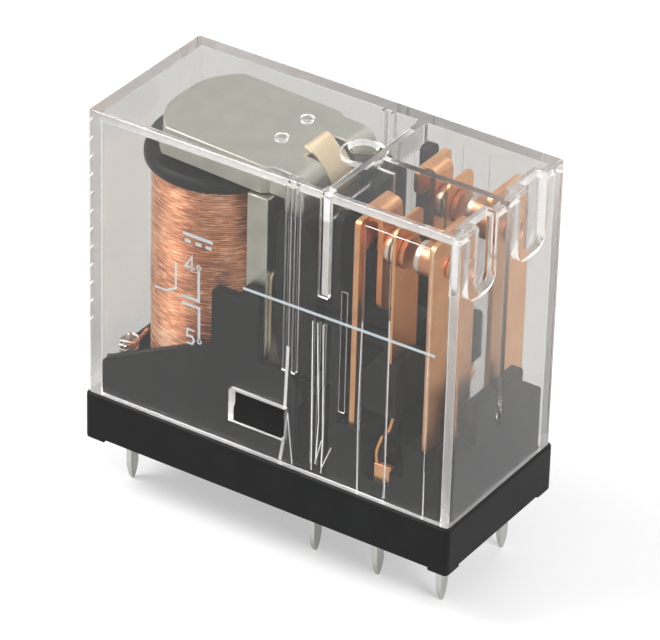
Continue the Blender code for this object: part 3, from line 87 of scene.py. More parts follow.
def joined(tree, kind, sockets=None, **settings):
    """A node in a tree, with its sockets joined to other nodes' outputs or set to plain values."""
    made = tree.nodes.new(kind)
    for key, value in settings.items():
        setattr(made, key, value)
    for label, value in (sockets or {}).items():
        if isinstance(value, bpy.types.NodeSocket):
            tree.links.new(value, made.inputs[label])
        else:
            made.inputs[label].default_value = value
    return made


def group_of(name, takes, gives):
    """An empty group of shader nodes with named inputs and outputs."""
    tree = bpy.data.node_groups.new(name, "ShaderNodeTree")
    for label, kind, value in takes:
        socket = tree.interface.new_socket(label, in_out="INPUT", socket_type=kind)
        if value is not None:
            socket.default_value = value
    for label, kind in gives:
        tree.interface.new_socket(label, in_out="OUTPUT", socket_type=kind)
    return tree, tree.nodes.new("NodeGroupInput").outputs, tree.nodes.new("NodeGroupOutput")


def noise(tree, place, scale, detail=2.0, roughness=0.5):
    """A cloudy pattern from 0 to 1, with so many clouds to the metre."""
    sockets = {"Vector": place, "Scale": scale, "Detail": detail, "Roughness": roughness}
    return joined(tree, "ShaderNodeTexNoise", sockets).outputs["Fac"]


def ranged(tree, value, low, high, to_low=0.0, to_high=1.0):
    """A value carried from one range to another and held inside it."""
    sockets = {"Value": value, "From Min": low, "From Max": high, "To Min": to_low, "To Max": to_high}
    return joined(tree, "ShaderNodeMapRange", sockets).outputs[0]


def reckoned(tree, operation, *values):
    """The result of one step of arithmetic."""
    return joined(tree, "ShaderNodeMath", dict(enumerate(values)), operation=operation).outputs[0]


def around(tree, middle, signal, spread):
    """A value that swings about a middle as a signal goes from 0 to 1."""
    return reckoned(tree, "MULTIPLY_ADD", reckoned(tree, "SUBTRACT", signal, 0.5), spread, middle)


moulding_surface, given, put = group_of(
    "moulded surface",
    [
        ("Place", "NodeSocketVector", None),
        ("Colour", "NodeSocketColor", (0.02, 0.02, 0.02, 1.0)),
        ("Roughness", "NodeSocketFloat", 0.4),
        ("Grain", "NodeSocketFloat", MOULD_GRAIN),
        ("Depth", "NodeSocketFloat", MOULD_DEPTH),
    ],
    [("Colour", "NodeSocketColor"), ("Roughness", "NodeSocketFloat"), ("Normal", "NodeSocketVector")],
)
fine = noise(moulding_surface, given["Place"], given["Grain"], detail=3.0, roughness=0.6)
cloud = noise(moulding_surface, given["Place"], MOULD_CLOUDS, detail=4.0)
shade = ranged(moulding_surface, cloud, 0.3, 0.7, to_low=0.8, to_high=1.25)
tone = joined(
    moulding_surface, "ShaderNodeVectorMath", {0: given["Colour"], "Scale": shade}, operation="SCALE"
)
rub = around(moulding_surface, given["Roughness"], cloud, spread=0.25)
rub = around(moulding_surface, rub, fine, spread=0.02)
grain = joined(
    moulding_surface, "ShaderNodeBump", {"Height": fine, "Distance": given["Depth"], "Strength": 1.0}
)
moulding_surface.links.new(tone.outputs[0], put.inputs["Colour"])
moulding_surface.links.new(rub, put.inputs["Roughness"])
moulding_surface.links.new(grain.outputs[0], put.inputs["Normal"])


def material_of(name):
    """A new material, its tree, its shader and the place of each point in metres."""
    made = bpy.data.materials.new(name)
    made.use_nodes = True
    tree = made.node_tree
    place = joined(tree, "ShaderNodeTexCoord").outputs["Object"]
    return made, tree, tree.nodes["Principled BSDF"], place


def surfaced(name, group, values):
    """A material whose colour, roughness and normal come from a group of nodes with the given values."""
    made, tree, shader, place = material_of(name)
    surface = joined(tree, "ShaderNodeGroup", node_tree=group)
    tree.links.new(place, surface.inputs["Place"])
    for label, value in values.items():
        surface.inputs[label].default_value = value
    tree.links.new(surface.outputs["Colour"], shader.inputs["Base Color"])
    tree.links.new(surface.outputs["Roughness"], shader.inputs["Roughness"])
    tree.links.new(surface.outputs["Normal"], shader.inputs["Normal"])
    return made, shader


def black_moulding(name, colour, roughness):
    """A black plastic with the faint clouds and the fine grain of its mould."""
    values = {"Colour": (*colour, 1.0), "Roughness": roughness, "Grain": MOULD_GRAIN, "Depth": MOULD_DEPTH}
    made, shader = surfaced(name, moulding_surface, values)
    shader.inputs["Specular IOR Level"].default_value = PLASTIC_SHINE
    return made


def finished(piece):
    """The piece as a plain mesh, with its modifiers worked in."""
    solved = piece.evaluated_get(bpy.context.evaluated_depsgraph_get())
    mesh = bpy.data.meshes.new_from_object(solved)
    piece.modifiers.clear()
    old = piece.data
    piece.data = mesh
    bpy.data.meshes.remove(old)
    return piece


def eased(node, name, skin, edge=0.05 * MM, body="housing"):
    """A node of the frame again, with its sharp edges eased as moulding and blanking leave them."""
    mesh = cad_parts[node].data.copy()
    mesh.name = name
    solid = bmesh.new()
    solid.from_mesh(mesh)
    bmesh.ops.remove_doubles(solid, verts=solid.verts, dist=WELD_GAP)
    bmesh.ops.dissolve_limit(solid, angle_limit=FLAT_ENOUGH, verts=solid.verts, edges=solid.edges)
    solid.to_mesh(mesh)
    solid.free()
    mesh.materials.clear()
    mesh.materials.append(skin)
    piece = bpy.data.objects.new(name, mesh)
    bpy.context.scene.collection.objects.link(piece)
    ease = piece.modifiers.new("eased edges", "BEVEL")
    ease.limit_method = "ANGLE"
    ease.angle_limit = SHARP_EDGE
    ease.width = edge
    ease.segments = 2
    ease.use_clamp_overlap = True
    mesh.shade_smooth()
    mesh.set_sharp_from_angle(angle=SMOOTH_BEND)
    flat = piece.modifiers.new("flat faces", "WEIGHTED_NORMAL")
    flat.keep_sharp = True
    flat.weight = 90
    piece = finished(piece)
    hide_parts(node)
    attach(piece, body)
    return piece


BASE_BLACK = black_moulding("black polyester of the base", BASE_COLOUR, BASE_ROUGHNESS)
eased("base", "base_moulding", BASE_BLACK, edge=BASE_EDGE)


# Terminals: punched from one copper sheet each, bent, and pressed into the base from below. Under the base
# they are dipped in solder, which has an uneven edge just inside it. The coil's posts are tinned all over.
COPPER_SHEET = (0.95, 0.52, 0.26)
COPPER_SHEET_WORN = (0.87, 0.43, 0.20)
SOLDER_LIGHT = (0.66, 0.66, 0.62)
SOLDER_DARK = (0.47, 0.47, 0.44)
SOLDER_LOW = 4.95 * MM
SOLDER_HIGH = 5.15 * MM
SOLDER_UNEVEN = 0.6 * MM
SOLDER_EDGE_CLOUDS = 1500.0
SOLDER_CLOUDS = 900.0
POST_TIN = (0.62, 0.62, 0.58)
POST_TIN_WORN = (0.45, 0.45, 0.42)
ROLLING_LINES = (9000.0, 9000.0, 500.0)
ROLLING_DEPTH = 0.0025 * MM
TARNISH_CLOUDS = 600.0


def mixed_colour(tree, share, low, high):
    """A colour between two others: the first where the share is 0, the second where it is 1."""
    return joined(tree, "ShaderNodeMix", {"Factor": share, 6: low, 7: high}, data_type="RGBA").outputs[2]


sheet_surface, given, put = group_of(
    "rolled sheet",
    [
        ("Place", "NodeSocketVector", None),
        ("Colour", "NodeSocketColor", (0.6, 0.6, 0.6, 1.0)),
        ("Worn colour", "NodeSocketColor", (0.5, 0.5, 0.5, 1.0)),
        ("Roughness", "NodeSocketFloat", 0.3),
        ("Streaks", "NodeSocketFloat", 1.0),
    ],
    [("Colour", "NodeSocketColor"), ("Roughness", "NodeSocketFloat"), ("Normal", "NodeSocketVector")],
)
along = joined(sheet_surface, "ShaderNodeMapping", {"Vector": given["Place"], "Scale": ROLLING_LINES})
streak = noise(sheet_surface, along.outputs[0], 1.0)
cloud = noise(sheet_surface, given["Place"], TARNISH_CLOUDS, detail=5.0)
tarnish = ranged(sheet_surface, cloud, 0.4, 0.68)
tone = mixed_colour(sheet_surface, tarnish, given["Colour"], given["Worn colour"])
rub = around(sheet_surface, given["Roughness"], cloud, spread=0.22)
rub = around(sheet_surface, rub, streak, spread=0.16)
raised = reckoned(sheet_surface, "MULTIPLY", streak, given["Streaks"])
lines = joined(
    sheet_surface, "ShaderNodeBump", {"Height": raised, "Distance": ROLLING_DEPTH, "Strength": 1.0}
)
sheet_surface.links.new(tone, put.inputs["Colour"])
sheet_surface.links.new(rub, put.inputs["Roughness"])
sheet_surface.links.new(lines.outputs[0], put.inputs["Normal"])


def sheet_metal(name, colour, worn, roughness, streaks=1.0):
    """A rolled metal with the fine lines of the rolls and faint patches of tarnish."""
    values = {
        "Colour": (*colour, 1.0),
        "Worn colour": (*worn, 1.0),
        "Roughness": roughness,
        "Streaks": streaks,
    }
    made, shader = surfaced(name, sheet_surface, values)
    shader.inputs["Metallic"].default_value = 1.0
    return made


def opened(made):
    """A material's tree, the place of each point, its colour socket and what feeds that."""
    tree = made.node_tree
    place = tree.nodes["Texture Coordinate"].outputs["Object"]
    socket = tree.nodes["Principled BSDF"].inputs["Base Color"]
    return tree, place, socket, socket.links[0].from_socket


def measured(tree, place, axis):
    """How far each point lies along an axis."""
    return joined(tree, "ShaderNodeSeparateXYZ", {"Vector": place}).outputs[axis]


TIN = sheet_metal("tinned copper of the posts", POST_TIN, POST_TIN_WORN, roughness=0.3)
DIPPED_COPPER = sheet_metal(
    "copper sheet, dipped in solder", COPPER_SHEET, COPPER_SHEET_WORN, roughness=0.32
)
tree, place, socket, copper = opened(DIPPED_COPPER)
edge = noise(tree, place, SOLDER_EDGE_CLOUDS)
uneven = reckoned(tree, "MULTIPLY_ADD", edge, SOLDER_UNEVEN, measured(tree, place, "Z"))
above = ranged(tree, uneven, SOLDER_LOW, SOLDER_HIGH)
patches = noise(tree, place, SOLDER_CLOUDS, detail=4.0)
solder = mixed_colour(tree, patches, (*SOLDER_LIGHT, 1.0), (*SOLDER_DARK, 1.0))
tree.links.new(mixed_colour(tree, above, solder, copper), socket)

for pole in ("front", "back"):
    eased(f"coil_terminal_{pole}", f"coil_post_{pole}", TIN)
    for kind in ("nc", "com", "no"):
        name = f"{kind}_terminal_{pole}"
        eased(name, f"{name}_sheet", DIPPED_COPPER)


# Coil bobbin: a spool of black nylon, moulded in one, a little glossier than the base. It is slipped over the
# core, and its wide upper flange shows over the winding.
BOBBIN_COLOUR = (0.009, 0.009, 0.009)
BOBBIN_BLACK = black_moulding("black nylon of the bobbin", BOBBIN_COLOUR, roughness=0.42)
eased("bobbin", "spool", BOBBIN_BLACK, edge=0.08 * MM)


# Winding: enamelled copper wire, 0.15 mm thick, wound in layers on the bobbin. The outer layer is made turn
# by turn, a little uneven, over a plain drum that stands for the layers under it.
WIRE = 0.15 * MM
WIRE_UNEVEN = 0.04 * MM
POINTS_A_TURN = 64
WIRE_SIDES = 6
SWAY = (700.0, 700.0, 3400.0)
BANDS = (900.0, 900.0, 9500.0)
BROAD_CLOUDS = 330.0
BROAD_SHARE = 0.45
# The wire's darkest colour is painted shade and its brightest is a painted highlight; the copper between them
# is the wire's own tone.
WIRE_PAINTED_SHADE = (0.40, 0.13, 0.06)
WIRE_COPPER = (0.88, 0.41, 0.21)
WIRE_PAINTED_HIGHLIGHT = (1.0, 0.70, 0.50)
DRUM_LOW, DRUM_HIGH = (corner.z for corner in map(Vector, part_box("coil_winding")))
DRUM_LEFT, DRUM_RIGHT = (corner.x for corner in map(Vector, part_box("coil_winding")))
COIL_X = (DRUM_LEFT + DRUM_RIGHT) / 2
COIL_RADIUS = (DRUM_RIGHT - DRUM_LEFT) / 2
DRUM_INSET = 1.1 * WIRE
DRUM_SKIN = 0.8 * COIL_RADIUS


def wire_material(name):
    """Enamelled wire, its colour swinging in fine bands and broad clouds from a painted shade, standing for
    the gaps between turns, to a painted highlight, standing for turns that stand proud.
    """
    made, tree, shader, place = material_of(name)
    bands = joined(tree, "ShaderNodeMapping", {"Vector": place, "Scale": BANDS}).outputs[0]
    layers = noise(tree, bands, 1.0, detail=4.0, roughness=0.65)
    broad = noise(tree, place, BROAD_CLOUDS)
    mixed = reckoned(tree, "MULTIPLY_ADD", broad, BROAD_SHARE, layers)
    ramp = joined(tree, "ShaderNodeValToRGB", {"Fac": ranged(tree, mixed, 0.56, 0.9)})
    ramp.color_ramp.elements[0].color = (*WIRE_PAINTED_SHADE, 1.0)
    ramp.color_ramp.elements[1].color = (*WIRE_PAINTED_HIGHLIGHT, 1.0)
    ramp.color_ramp.elements.new(0.55).color = (*WIRE_COPPER, 1.0)
    shader.inputs["Metallic"].default_value = 0.85
    shader.inputs["Coat Weight"].default_value = 0.5
    shader.inputs["Coat Roughness"].default_value = 0.15
    tree.links.new(ramp.outputs["Color"], shader.inputs["Base Color"])
    tree.links.new(around(tree, 0.25, layers, spread=0.2), shader.inputs["Roughness"])
    return made


ENAMELLED_WIRE = wire_material("enamelled copper wire")


def node_tree_of(name, takes):
    """An empty Geometry Nodes tree with named inputs and one output."""
    tree = bpy.data.node_groups.new(name, "GeometryNodeTree")
    tree.interface.new_socket("Geometry", in_out="OUTPUT", socket_type="NodeSocketGeometry")
    for label, kind, value in takes:
        socket = tree.interface.new_socket(label, in_out="INPUT", socket_type=kind)
        if value is not None:
            socket.default_value = value
    return tree, tree.nodes.new("NodeGroupInput").outputs, tree.nodes.new("NodeGroupOutput")


def grown_from(tree, name, values):
    """The mesh that a Geometry Nodes tree makes from the given inputs."""
    piece = bpy.data.objects.new(name, bpy.data.meshes.new(name))
    bpy.context.scene.collection.objects.link(piece)
    step = piece.modifiers.new(tree.name, "NODES")
    step.node_group = tree
    for item in tree.interface.items_tree:
        if item.in_out == "INPUT" and item.name in values:
            step[item.identifier] = values[item.name]
    return finished(piece)


wound, given, put = node_tree_of(
    "wound wire",
    [
        ("Radius", "NodeSocketFloat", 0.004),
        ("Height", "NodeSocketFloat", 0.01),
        ("Turns", "NodeSocketFloat", 100.0),
        ("Wire", "NodeSocketFloat", 0.0001),
        ("Uneven", "NodeSocketFloat", 0.00003),
        ("Seed", "NodeSocketFloat", 3.0),
        ("Skin", "NodeSocketMaterial", None),
    ],
)
coil = joined(
    wound,
    "GeometryNodeCurveSpiral",
    {
        "Resolution": POINTS_A_TURN,
        "Rotations": given["Turns"],
        "Start Radius": given["Radius"],
        "End Radius": given["Radius"],
        "Height": given["Height"],
    },
)
position = joined(wound, "GeometryNodeInputPosition").outputs[0]
stretch = joined(wound, "ShaderNodeVectorMath", {0: position, 1: SWAY}, operation="MULTIPLY")
lift = joined(
    wound,
    "ShaderNodeTexNoise",
    {"Vector": stretch.outputs[0], "W": given["Seed"], "Scale": 1.0, "Detail": 2.0},
    noise_dimensions="4D",
)
amount = reckoned(wound, "MULTIPLY", reckoned(wound, "SUBTRACT", lift.outputs["Fac"], 0.75), given["Uneven"])
flat = joined(wound, "ShaderNodeVectorMath", {0: position, 1: (1.0, 1.0, 0.0)}, operation="MULTIPLY")
outward = joined(wound, "ShaderNodeVectorMath", {0: flat.outputs[0]}, operation="NORMALIZE")
shift = joined(wound, "ShaderNodeVectorMath", {0: outward.outputs[0], "Scale": amount}, operation="SCALE")
moved = joined(
    wound, "GeometryNodeSetPosition", {"Geometry": coil.outputs[0], "Offset": shift.outputs[0]}
)
section = joined(
    wound, "GeometryNodeCurvePrimitiveCircle", {"Resolution": WIRE_SIDES, "Radius": given["Wire"]}
)
tube = joined(
    wound,
    "GeometryNodeCurveToMesh",
    {"Curve": moved.outputs[0], "Profile Curve": section.outputs[0], "Fill Caps": True},
)
smooth = joined(wound, "GeometryNodeSetShadeSmooth", {"Geometry": tube.outputs[0]})
solid = joined(wound, "GeometryNodeRealizeInstances", {"Geometry": smooth.outputs[0]})
skinned = joined(
    wound, "GeometryNodeSetMaterial", {"Geometry": solid.outputs[0], "Material": given["Skin"]}
)
wound.links.new(skinned.outputs[0], put.inputs[0])

turns = int((DRUM_HIGH - DRUM_LOW) / WIRE)
layer = grown_from(
    wound,
    "winding_outer_layer",
    {
        "Radius": COIL_RADIUS - WIRE / 2,
        "Height": DRUM_HIGH - DRUM_LOW - WIRE,
        "Turns": float(turns),
        "Wire": WIRE / 2,
        "Uneven": WIRE_UNEVEN,
        "Skin": ENAMELLED_WIRE,
    },
)
layer.data.transform(Matrix.Translation((COIL_X, 0.0, DRUM_LOW + WIRE / 2)))
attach(layer, "housing")
drum = eased("coil_winding", "winding_inner_layers", ENAMELLED_WIRE, edge=0.02 * MM)

# The drum's outside draws in under the turns, and its bore stays on the bobbin.
inset = 1.0 - DRUM_INSET / COIL_RADIUS
for vertex in drum.data.vertices:
    if math.hypot(vertex.co.x - COIL_X, vertex.co.y) > DRUM_SKIN:
        vertex.co.x = COIL_X + (vertex.co.x - COIL_X) * inset
        vertex.co.y *= inset


# Leads: the two ends of the winding's own wire, led out at the foot of the bobbin, wrapped on the tinned
# posts and soldered there, so that solder covers the copper near each post.
SOLDERED_REACH = 0.5 * MM
SOLDERED_FADE = 0.2 * MM
SOLDERED_BLOBS = 0.7 * MM
BLOB_CLOUDS = 2500.0
SOLDERED_TONE = (0.66, 0.58, 0.52)
SOLDERED_WIRE = wire_material("wire ends, soldered at the post")
tree, place, socket, copper = opened(SOLDERED_WIRE)
post_side = max(corner[0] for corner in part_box("coil_terminal_front"))
blob = noise(tree, place, BLOB_CLOUDS)
reach = reckoned(tree, "MULTIPLY_ADD", blob, SOLDERED_BLOBS, measured(tree, place, "X"))
bare = ranged(tree, reach, post_side + SOLDERED_REACH, post_side + SOLDERED_REACH + SOLDERED_FADE)
tree.links.new(mixed_colour(tree, bare, (*SOLDERED_TONE, 1.0), copper), socket)
for pole in ("front", "back"):
    name = f"coil_lead_{pole}"
    eased(name, f"{name}_wire", SOLDERED_WIRE, edge=0.005 * MM)


# Core and yoke: soft iron, with a dull nickel plate. The core has a pole disc on top and is staked into the
# foot of the yoke, which is an L bent from sheet.
NICKEL_TONE = (0.60, 0.60, 0.53)
NICKEL_WORN = (0.51, 0.51, 0.44)
NICKEL = sheet_metal("nickel plate", NICKEL_TONE, NICKEL_WORN, roughness=0.36, streaks=0.6)
eased("core", "iron_core", NICKEL)
eased("yoke", "yoke_plate", NICKEL, edge=0.09 * MM)


# Hinge spring: thin bronze strip, riveted to the back of the yoke. Its tongue bows over the armature and
# presses it down at its hinge.
BRONZE_TONE = (1.0, 0.85, 0.60)
BRONZE_WORN = (1.0, 0.80, 0.54)
BRONZE = sheet_metal("spring bronze", BRONZE_TONE, BRONZE_WORN, roughness=0.36)
eased("hinge_spring", "hinge_spring_sheet", BRONZE, edge=0.03 * MM)


# Armature: an L of steel sheet, punched and bent, with a matt nickel plate. It rocks on the upper edge of the
# yoke, and the core draws its long side down.
MATT_TONE = (0.56, 0.56, 0.50)
MATT_WORN = (0.50, 0.50, 0.44)
MATT_NICKEL = sheet_metal(
    "nickel plate of the armature", MATT_TONE, MATT_WORN, roughness=0.44, streaks=0.4
)
eased("armature", "armature_plate", MATT_NICKEL, edge=0.1 * MM, body="armature")


# Card: the same black nylon as the bobbin, moulded round the leg of the armature. It has one arm for each
# pole, which pushes on the block of that pole's moving spring.
eased("card", "card_moulding", BOBBIN_BLACK, edge=0.07 * MM, body="armature")


# Moving springs: springy copper strip, each held in a moulded block, with a contact riveted through it. The
# rivets, like those in the fixed terminals, are copper, with silver clad on the faces that meet.
STRIP_COPPER = (1.0, 0.53, 0.23)
STRIP_COPPER_WORN = (0.93, 0.45, 0.19)
RIVET_COPPER = (0.80, 0.40, 0.23)
RIVET_COPPER_WORN = (0.66, 0.30, 0.16)
SILVER = (0.84, 0.79, 0.68)
SILVER_FROM = 7.0 * MM
SILVER_SPAN = 4.0 * MM
SILVER_BANDS = ((7.65 * MM, 1.0), (8.2 * MM, 0.0), (9.5 * MM, 1.0), (10.15 * MM, 0.0))
SPRING_COPPER = sheet_metal("spring copper", STRIP_COPPER, STRIP_COPPER_WORN, roughness=0.32)
CLAD_COPPER = sheet_metal(
    "copper rivet clad with silver", RIVET_COPPER, RIVET_COPPER_WORN, roughness=0.3
)
tree, place, socket, copper = opened(CLAD_COPPER)
share = ranged(tree, measured(tree, place, "X"), SILVER_FROM, SILVER_FROM + SILVER_SPAN)
clad = joined(tree, "ShaderNodeValToRGB", {"Fac": share})
clad.color_ramp.interpolation = "CONSTANT"
clad.color_ramp.elements.remove(clad.color_ramp.elements[1])
clad.color_ramp.elements[0].color = (0.0, 0.0, 0.0, 1.0)
for at, value in SILVER_BANDS:
    step = clad.color_ramp.elements.new((at - SILVER_FROM) / SILVER_SPAN)
    step.color = (value, value, value, 1.0)
tree.links.new(mixed_colour(tree, clad.outputs["Color"], copper, (*SILVER, 1.0)), socket)
for pole in ("front", "back"):
    body = f"moving_spring_{pole}"
    eased(body, f"{body}_strip", SPRING_COPPER, edge=0.03 * MM, body=body)
    eased(f"spring_block_{pole}", f"block_{pole}", BOBBIN_BLACK, body=body)
    rivet = f"moving_contact_{pole}"
    eased(rivet, f"contact_{pole}", CLAD_COPPER, edge=0.02 * MM, body=body)
    for kind in ("nc", "no"):
        name = f"{kind}_contact_{pole}"
        eased(name, f"{name}_rivet", CLAD_COPPER, edge=0.02 * MM)


# Cover: injection-moulded in clear polycarbonate, with ribs and grooves inside, and snapped over the latches
# of the base. Lamps shine straight through it, and whatever is seen through it is bent as in the plastic.
CLEAR_TINT = (0.722, 0.714, 0.700)
PASSING_TINT = (0.80, 0.795, 0.79)
PLASTIC_MIRROR = (0.42, 0.42, 0.42)
PLASTIC_BENDING = 1.585
INNER_HAZE = 0.45
WEAR_CLOUDS = 700.0

CLEAR, tree, shader, place = material_of("clear polycarbonate")
shader.inputs["Base Color"].default_value = (*CLEAR_TINT, 1.0)
shader.inputs["Transmission Weight"].default_value = 1.0
shader.inputs["IOR"].default_value = PLASTIC_BENDING
shader.inputs["Specular Tint"].default_value = (*PLASTIC_MIRROR, 1.0)
wear = noise(tree, place, WEAR_CLOUDS, detail=6.0)
rough = ranged(tree, wear, 0.45, 0.75, to_low=0.02, to_high=0.05)
ray = joined(tree, "ShaderNodeLightPath")
hazed = reckoned(tree, "MULTIPLY_ADD", ray.outputs["Is Reflection Ray"], INNER_HAZE, rough)
tree.links.new(hazed, shader.inputs["Roughness"])
passing = joined(tree, "ShaderNodeBsdfTransparent", {"Color": (*PASSING_TINT, 1.0)})
mixed = joined(
    tree,
    "ShaderNodeMixShader",
    {0: ray.outputs["Is Shadow Ray"], 1: shader.outputs[0], 2: passing.outputs[0]},
)
tree.links.new(mixed.outputs[0], tree.nodes["Material Output"].inputs["Surface"])
eased("cover", "cover_moulding", CLEAR, edge=0.08 * MM)

# Light runs far along inside the walls before it comes out at an edge.
bpy.context.scene.cycles.max_bounces = 40
bpy.context.scene.cycles.glossy_bounces = 24
bpy.context.scene.cycles.transmission_bounces = 32
bpy.context.scene.cycles.transparent_max_bounces = 24


# Print: a plain contact diagram with two pin numbers, in pale ink, printed on the front of the cover. Its
# paths are in millimetres, along the relay and up from the board.
PIN_LENGTH = 4.0 * MM
INK_FACE = -6.351 * MM
INK_FILM = 0.012 * MM
INK_LINE = 0.2 * MM
BAR_LINE = INK_LINE * 1.2
FINE_LINE = 0.15 * MM
RING_RADIUS = 0.19 * MM
RING_HOLE = 0.45
RING_STEPS = 20
SHARPEST_CORNER = 0.4
INK_DARK = (0.42, 0.47, 0.50)
INK_LIGHT = (0.58, 0.63, 0.66)
FOUR = [(-5.93, 15.95), (-5.93, 17.09), (-6.45, 16.25), (-5.7, 16.25)]
FIVE = [(-5.68, 11.5), (-6.23, 11.5), (-6.26, 11.0), (-5.85, 11.02)]
FIVE += [(-5.7, 10.75), (-5.85, 10.45), (-6.3, 10.45)]
STROKES = [
    (INK_LINE, [(-1.89, 16.17), (12.86, 16.33)]),
    (BAR_LINE, [(-6.66, 18.69), (-4.29, 18.69)]),
    (BAR_LINE, [(-6.5, 18.2), (-6.04, 18.2)]),
    (BAR_LINE, [(-5.66, 18.2), (-5.2, 18.2)]),
    (BAR_LINE, [(-4.86, 18.2), (-4.4, 18.2)]),
    (INK_LINE, [(-5.38, 16.35), (-5.36, 13.91), (-6.74, 13.91)]),
    (INK_LINE, [(-6.69, 13.38), (-5.33, 13.38), (-5.31, 10.9)]),
    (FINE_LINE, FOUR),
    (FINE_LINE, FIVE),
    (FINE_LINE, [(-7.2, 16.25), (-7.19, 14.25), (-7.98, 13.85), (-8.86, 13.84)]),
]
RINGS = [(-5.38, 16.45), (-5.28, 10.82)]


def speckled(name, dark, light, specks, detail, roughness):
    """A matt skin whose colour and roughness change from speck to speck."""
    made, tree, shader, place = material_of(name)
    speck = noise(tree, place, specks, detail)
    ramp = joined(tree, "ShaderNodeValToRGB", {"Fac": speck})
    ramp.color_ramp.elements[0].color = (*dark, 1.0)
    ramp.color_ramp.elements[1].color = (*light, 1.0)
    tree.links.new(ramp.outputs["Color"], shader.inputs["Base Color"])
    tree.links.new(around(tree, roughness, speck, spread=0.2), shader.inputs["Roughness"])
    return made


def ink_strip(solid, path, width, face=INK_FACE, film=INK_FILM):
    """A thin raised line on a face of the cover's front wall, along a path."""
    points = [Vector((x * MM, z * MM + PIN_LENGTH)) for x, z in path]
    left = []
    right = []
    for i, point in enumerate(points):
        ahead = points[min(i + 1, len(points) - 1)] - point
        back = point - points[max(i - 1, 0)]
        ahead = ahead.normalized() if ahead.length else back.normalized()
        back = back.normalized() if back.length else ahead
        along = (ahead + back).normalized()
        across = Vector((-along.y, along.x)) * width / 2 / max(along.dot(ahead), SHARPEST_CORNER)
        left.append(point + across)
        right.append(point - across)
    outline = left + right[::-1]
    front = [solid.verts.new((p.x, face - film, p.y)) for p in outline]
    rear = [solid.verts.new((p.x, face, p.y)) for p in outline]
    count = len(points)
    for i in range(count - 1):
        j = 2 * count - 1 - i
        solid.faces.new((front[i], front[i + 1], front[j - 1], front[j]))
        solid.faces.new((rear[j], rear[j - 1], rear[i + 1], rear[i]))
    for i in range(2 * count):
        j = (i + 1) % (2 * count)
        solid.faces.new((front[j], front[i], rear[i], rear[j]))


def ink_ring(solid, x, z, radius):
    """A small printed ring round a point of the front wall."""
    inner = radius * RING_HOLE
    loops = []
    for size, depth in ((radius, 0.0), (radius, INK_FILM), (inner, INK_FILM), (inner, 0.0)):
        loop = []
        for i in range(RING_STEPS):
            turn = 2 * math.pi * i / RING_STEPS
            across = x * MM + size * math.cos(turn)
            up = z * MM + PIN_LENGTH + size * math.sin(turn)
            loop.append(solid.verts.new((across, INK_FACE - depth, up)))
        loops.append(loop)
    for a, loop in enumerate(loops):
        beside = loops[(a + 1) % len(loops)]
        for i in range(RING_STEPS):
            j = (i + 1) % RING_STEPS
            solid.faces.new((loop[i], loop[j], beside[j], beside[i]))


def laid_on(solid, name, skin):
    """The finished strips as one piece."""
    bmesh.ops.recalc_face_normals(solid, faces=solid.faces)
    mesh = bpy.data.meshes.new(name)
    solid.to_mesh(mesh)
    solid.free()
    mesh.materials.append(skin)
    piece = bpy.data.objects.new(name, mesh)
    bpy.context.scene.collection.objects.link(piece)
    return piece


PALE_INK = speckled("pale ink", INK_DARK, INK_LIGHT, specks=6000.0, detail=2.0, roughness=0.5)
drawing = bmesh.new()
for width, path in STROKES:
    ink_strip(drawing, path, width)
for x, z in RINGS:
    ink_ring(drawing, x, z, RING_RADIUS)
diagram = laid_on(drawing, "contact_diagram", PALE_INK)
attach(diagram, "housing")


# Painted highlights: pale strips laid on the inside of the cover's front wall and on its ribs, painted where
# light catches the rib edges.
# The cover's left upright edge has a row of small nicks, drawn as the same pale strips.
HIGHLIGHT_GREY = (0.78, 0.79, 0.80)
HIGHLIGHT_WHITE = (1.0, 1.0, 1.0)
HIGHLIGHT_FACE = -5.515 * MM
HIGHLIGHT_FILM = 0.03 * MM
RIB_FACE = -5.12 * MM
CORNER_FACE = -6.3 * MM
THIN_FILM = 0.02 * MM
FINE_HIGHLIGHT_WIDTH = 0.07 * MM
NICK_WIDTH = 0.1 * MM
NICKS = 12
LOWEST_NICK = 9.32
NICK_STEP = 1.377
NICK_RISE = 0.36
NICK_LEFT = -14.17
NICK_RIGHT = -13.9
WIDE_HIGHLIGHTS = [
    (0.22 * MM, HIGHLIGHT_FACE, HIGHLIGHT_FILM, [(1.43, 12.7), (1.27, 7.7), (1.2, 5.3), (0.97, 3.75)]),
    (0.08 * MM, HIGHLIGHT_FACE, HIGHLIGHT_FILM, [(1.5, 7.6), (1.93, 3.8)]),
    (0.5 * MM, RIB_FACE, THIN_FILM, [(4.03, 17.4), (4.03, 24.6)]),
]
FINE_HIGHLIGHTS = [
    [(3.29, 15.3), (3.37, 9.97), (3.45, 3.92)],
    [(3.66, 15.3), (3.93, 7.96), (3.77, 4.54)],
    [(4.09, 15.3), (4.3, 7.11), (4.21, 3.93)],
    [(4.19, 6.45), (3.72, 4.52)],
    [(4.95, 6.18), (4.21, 4.27)],
    [(7.06, 16.63), (6.99, 12.29), (6.96, 9.13), (7.03, 3.75)],
    [(9.07, 17.36), (9.11, 14.83), (9.12, 9.12), (9.12, 3.85)],
    [(12.05, 15.64), (12.1, 9.16), (12.16, 3.75)],
]

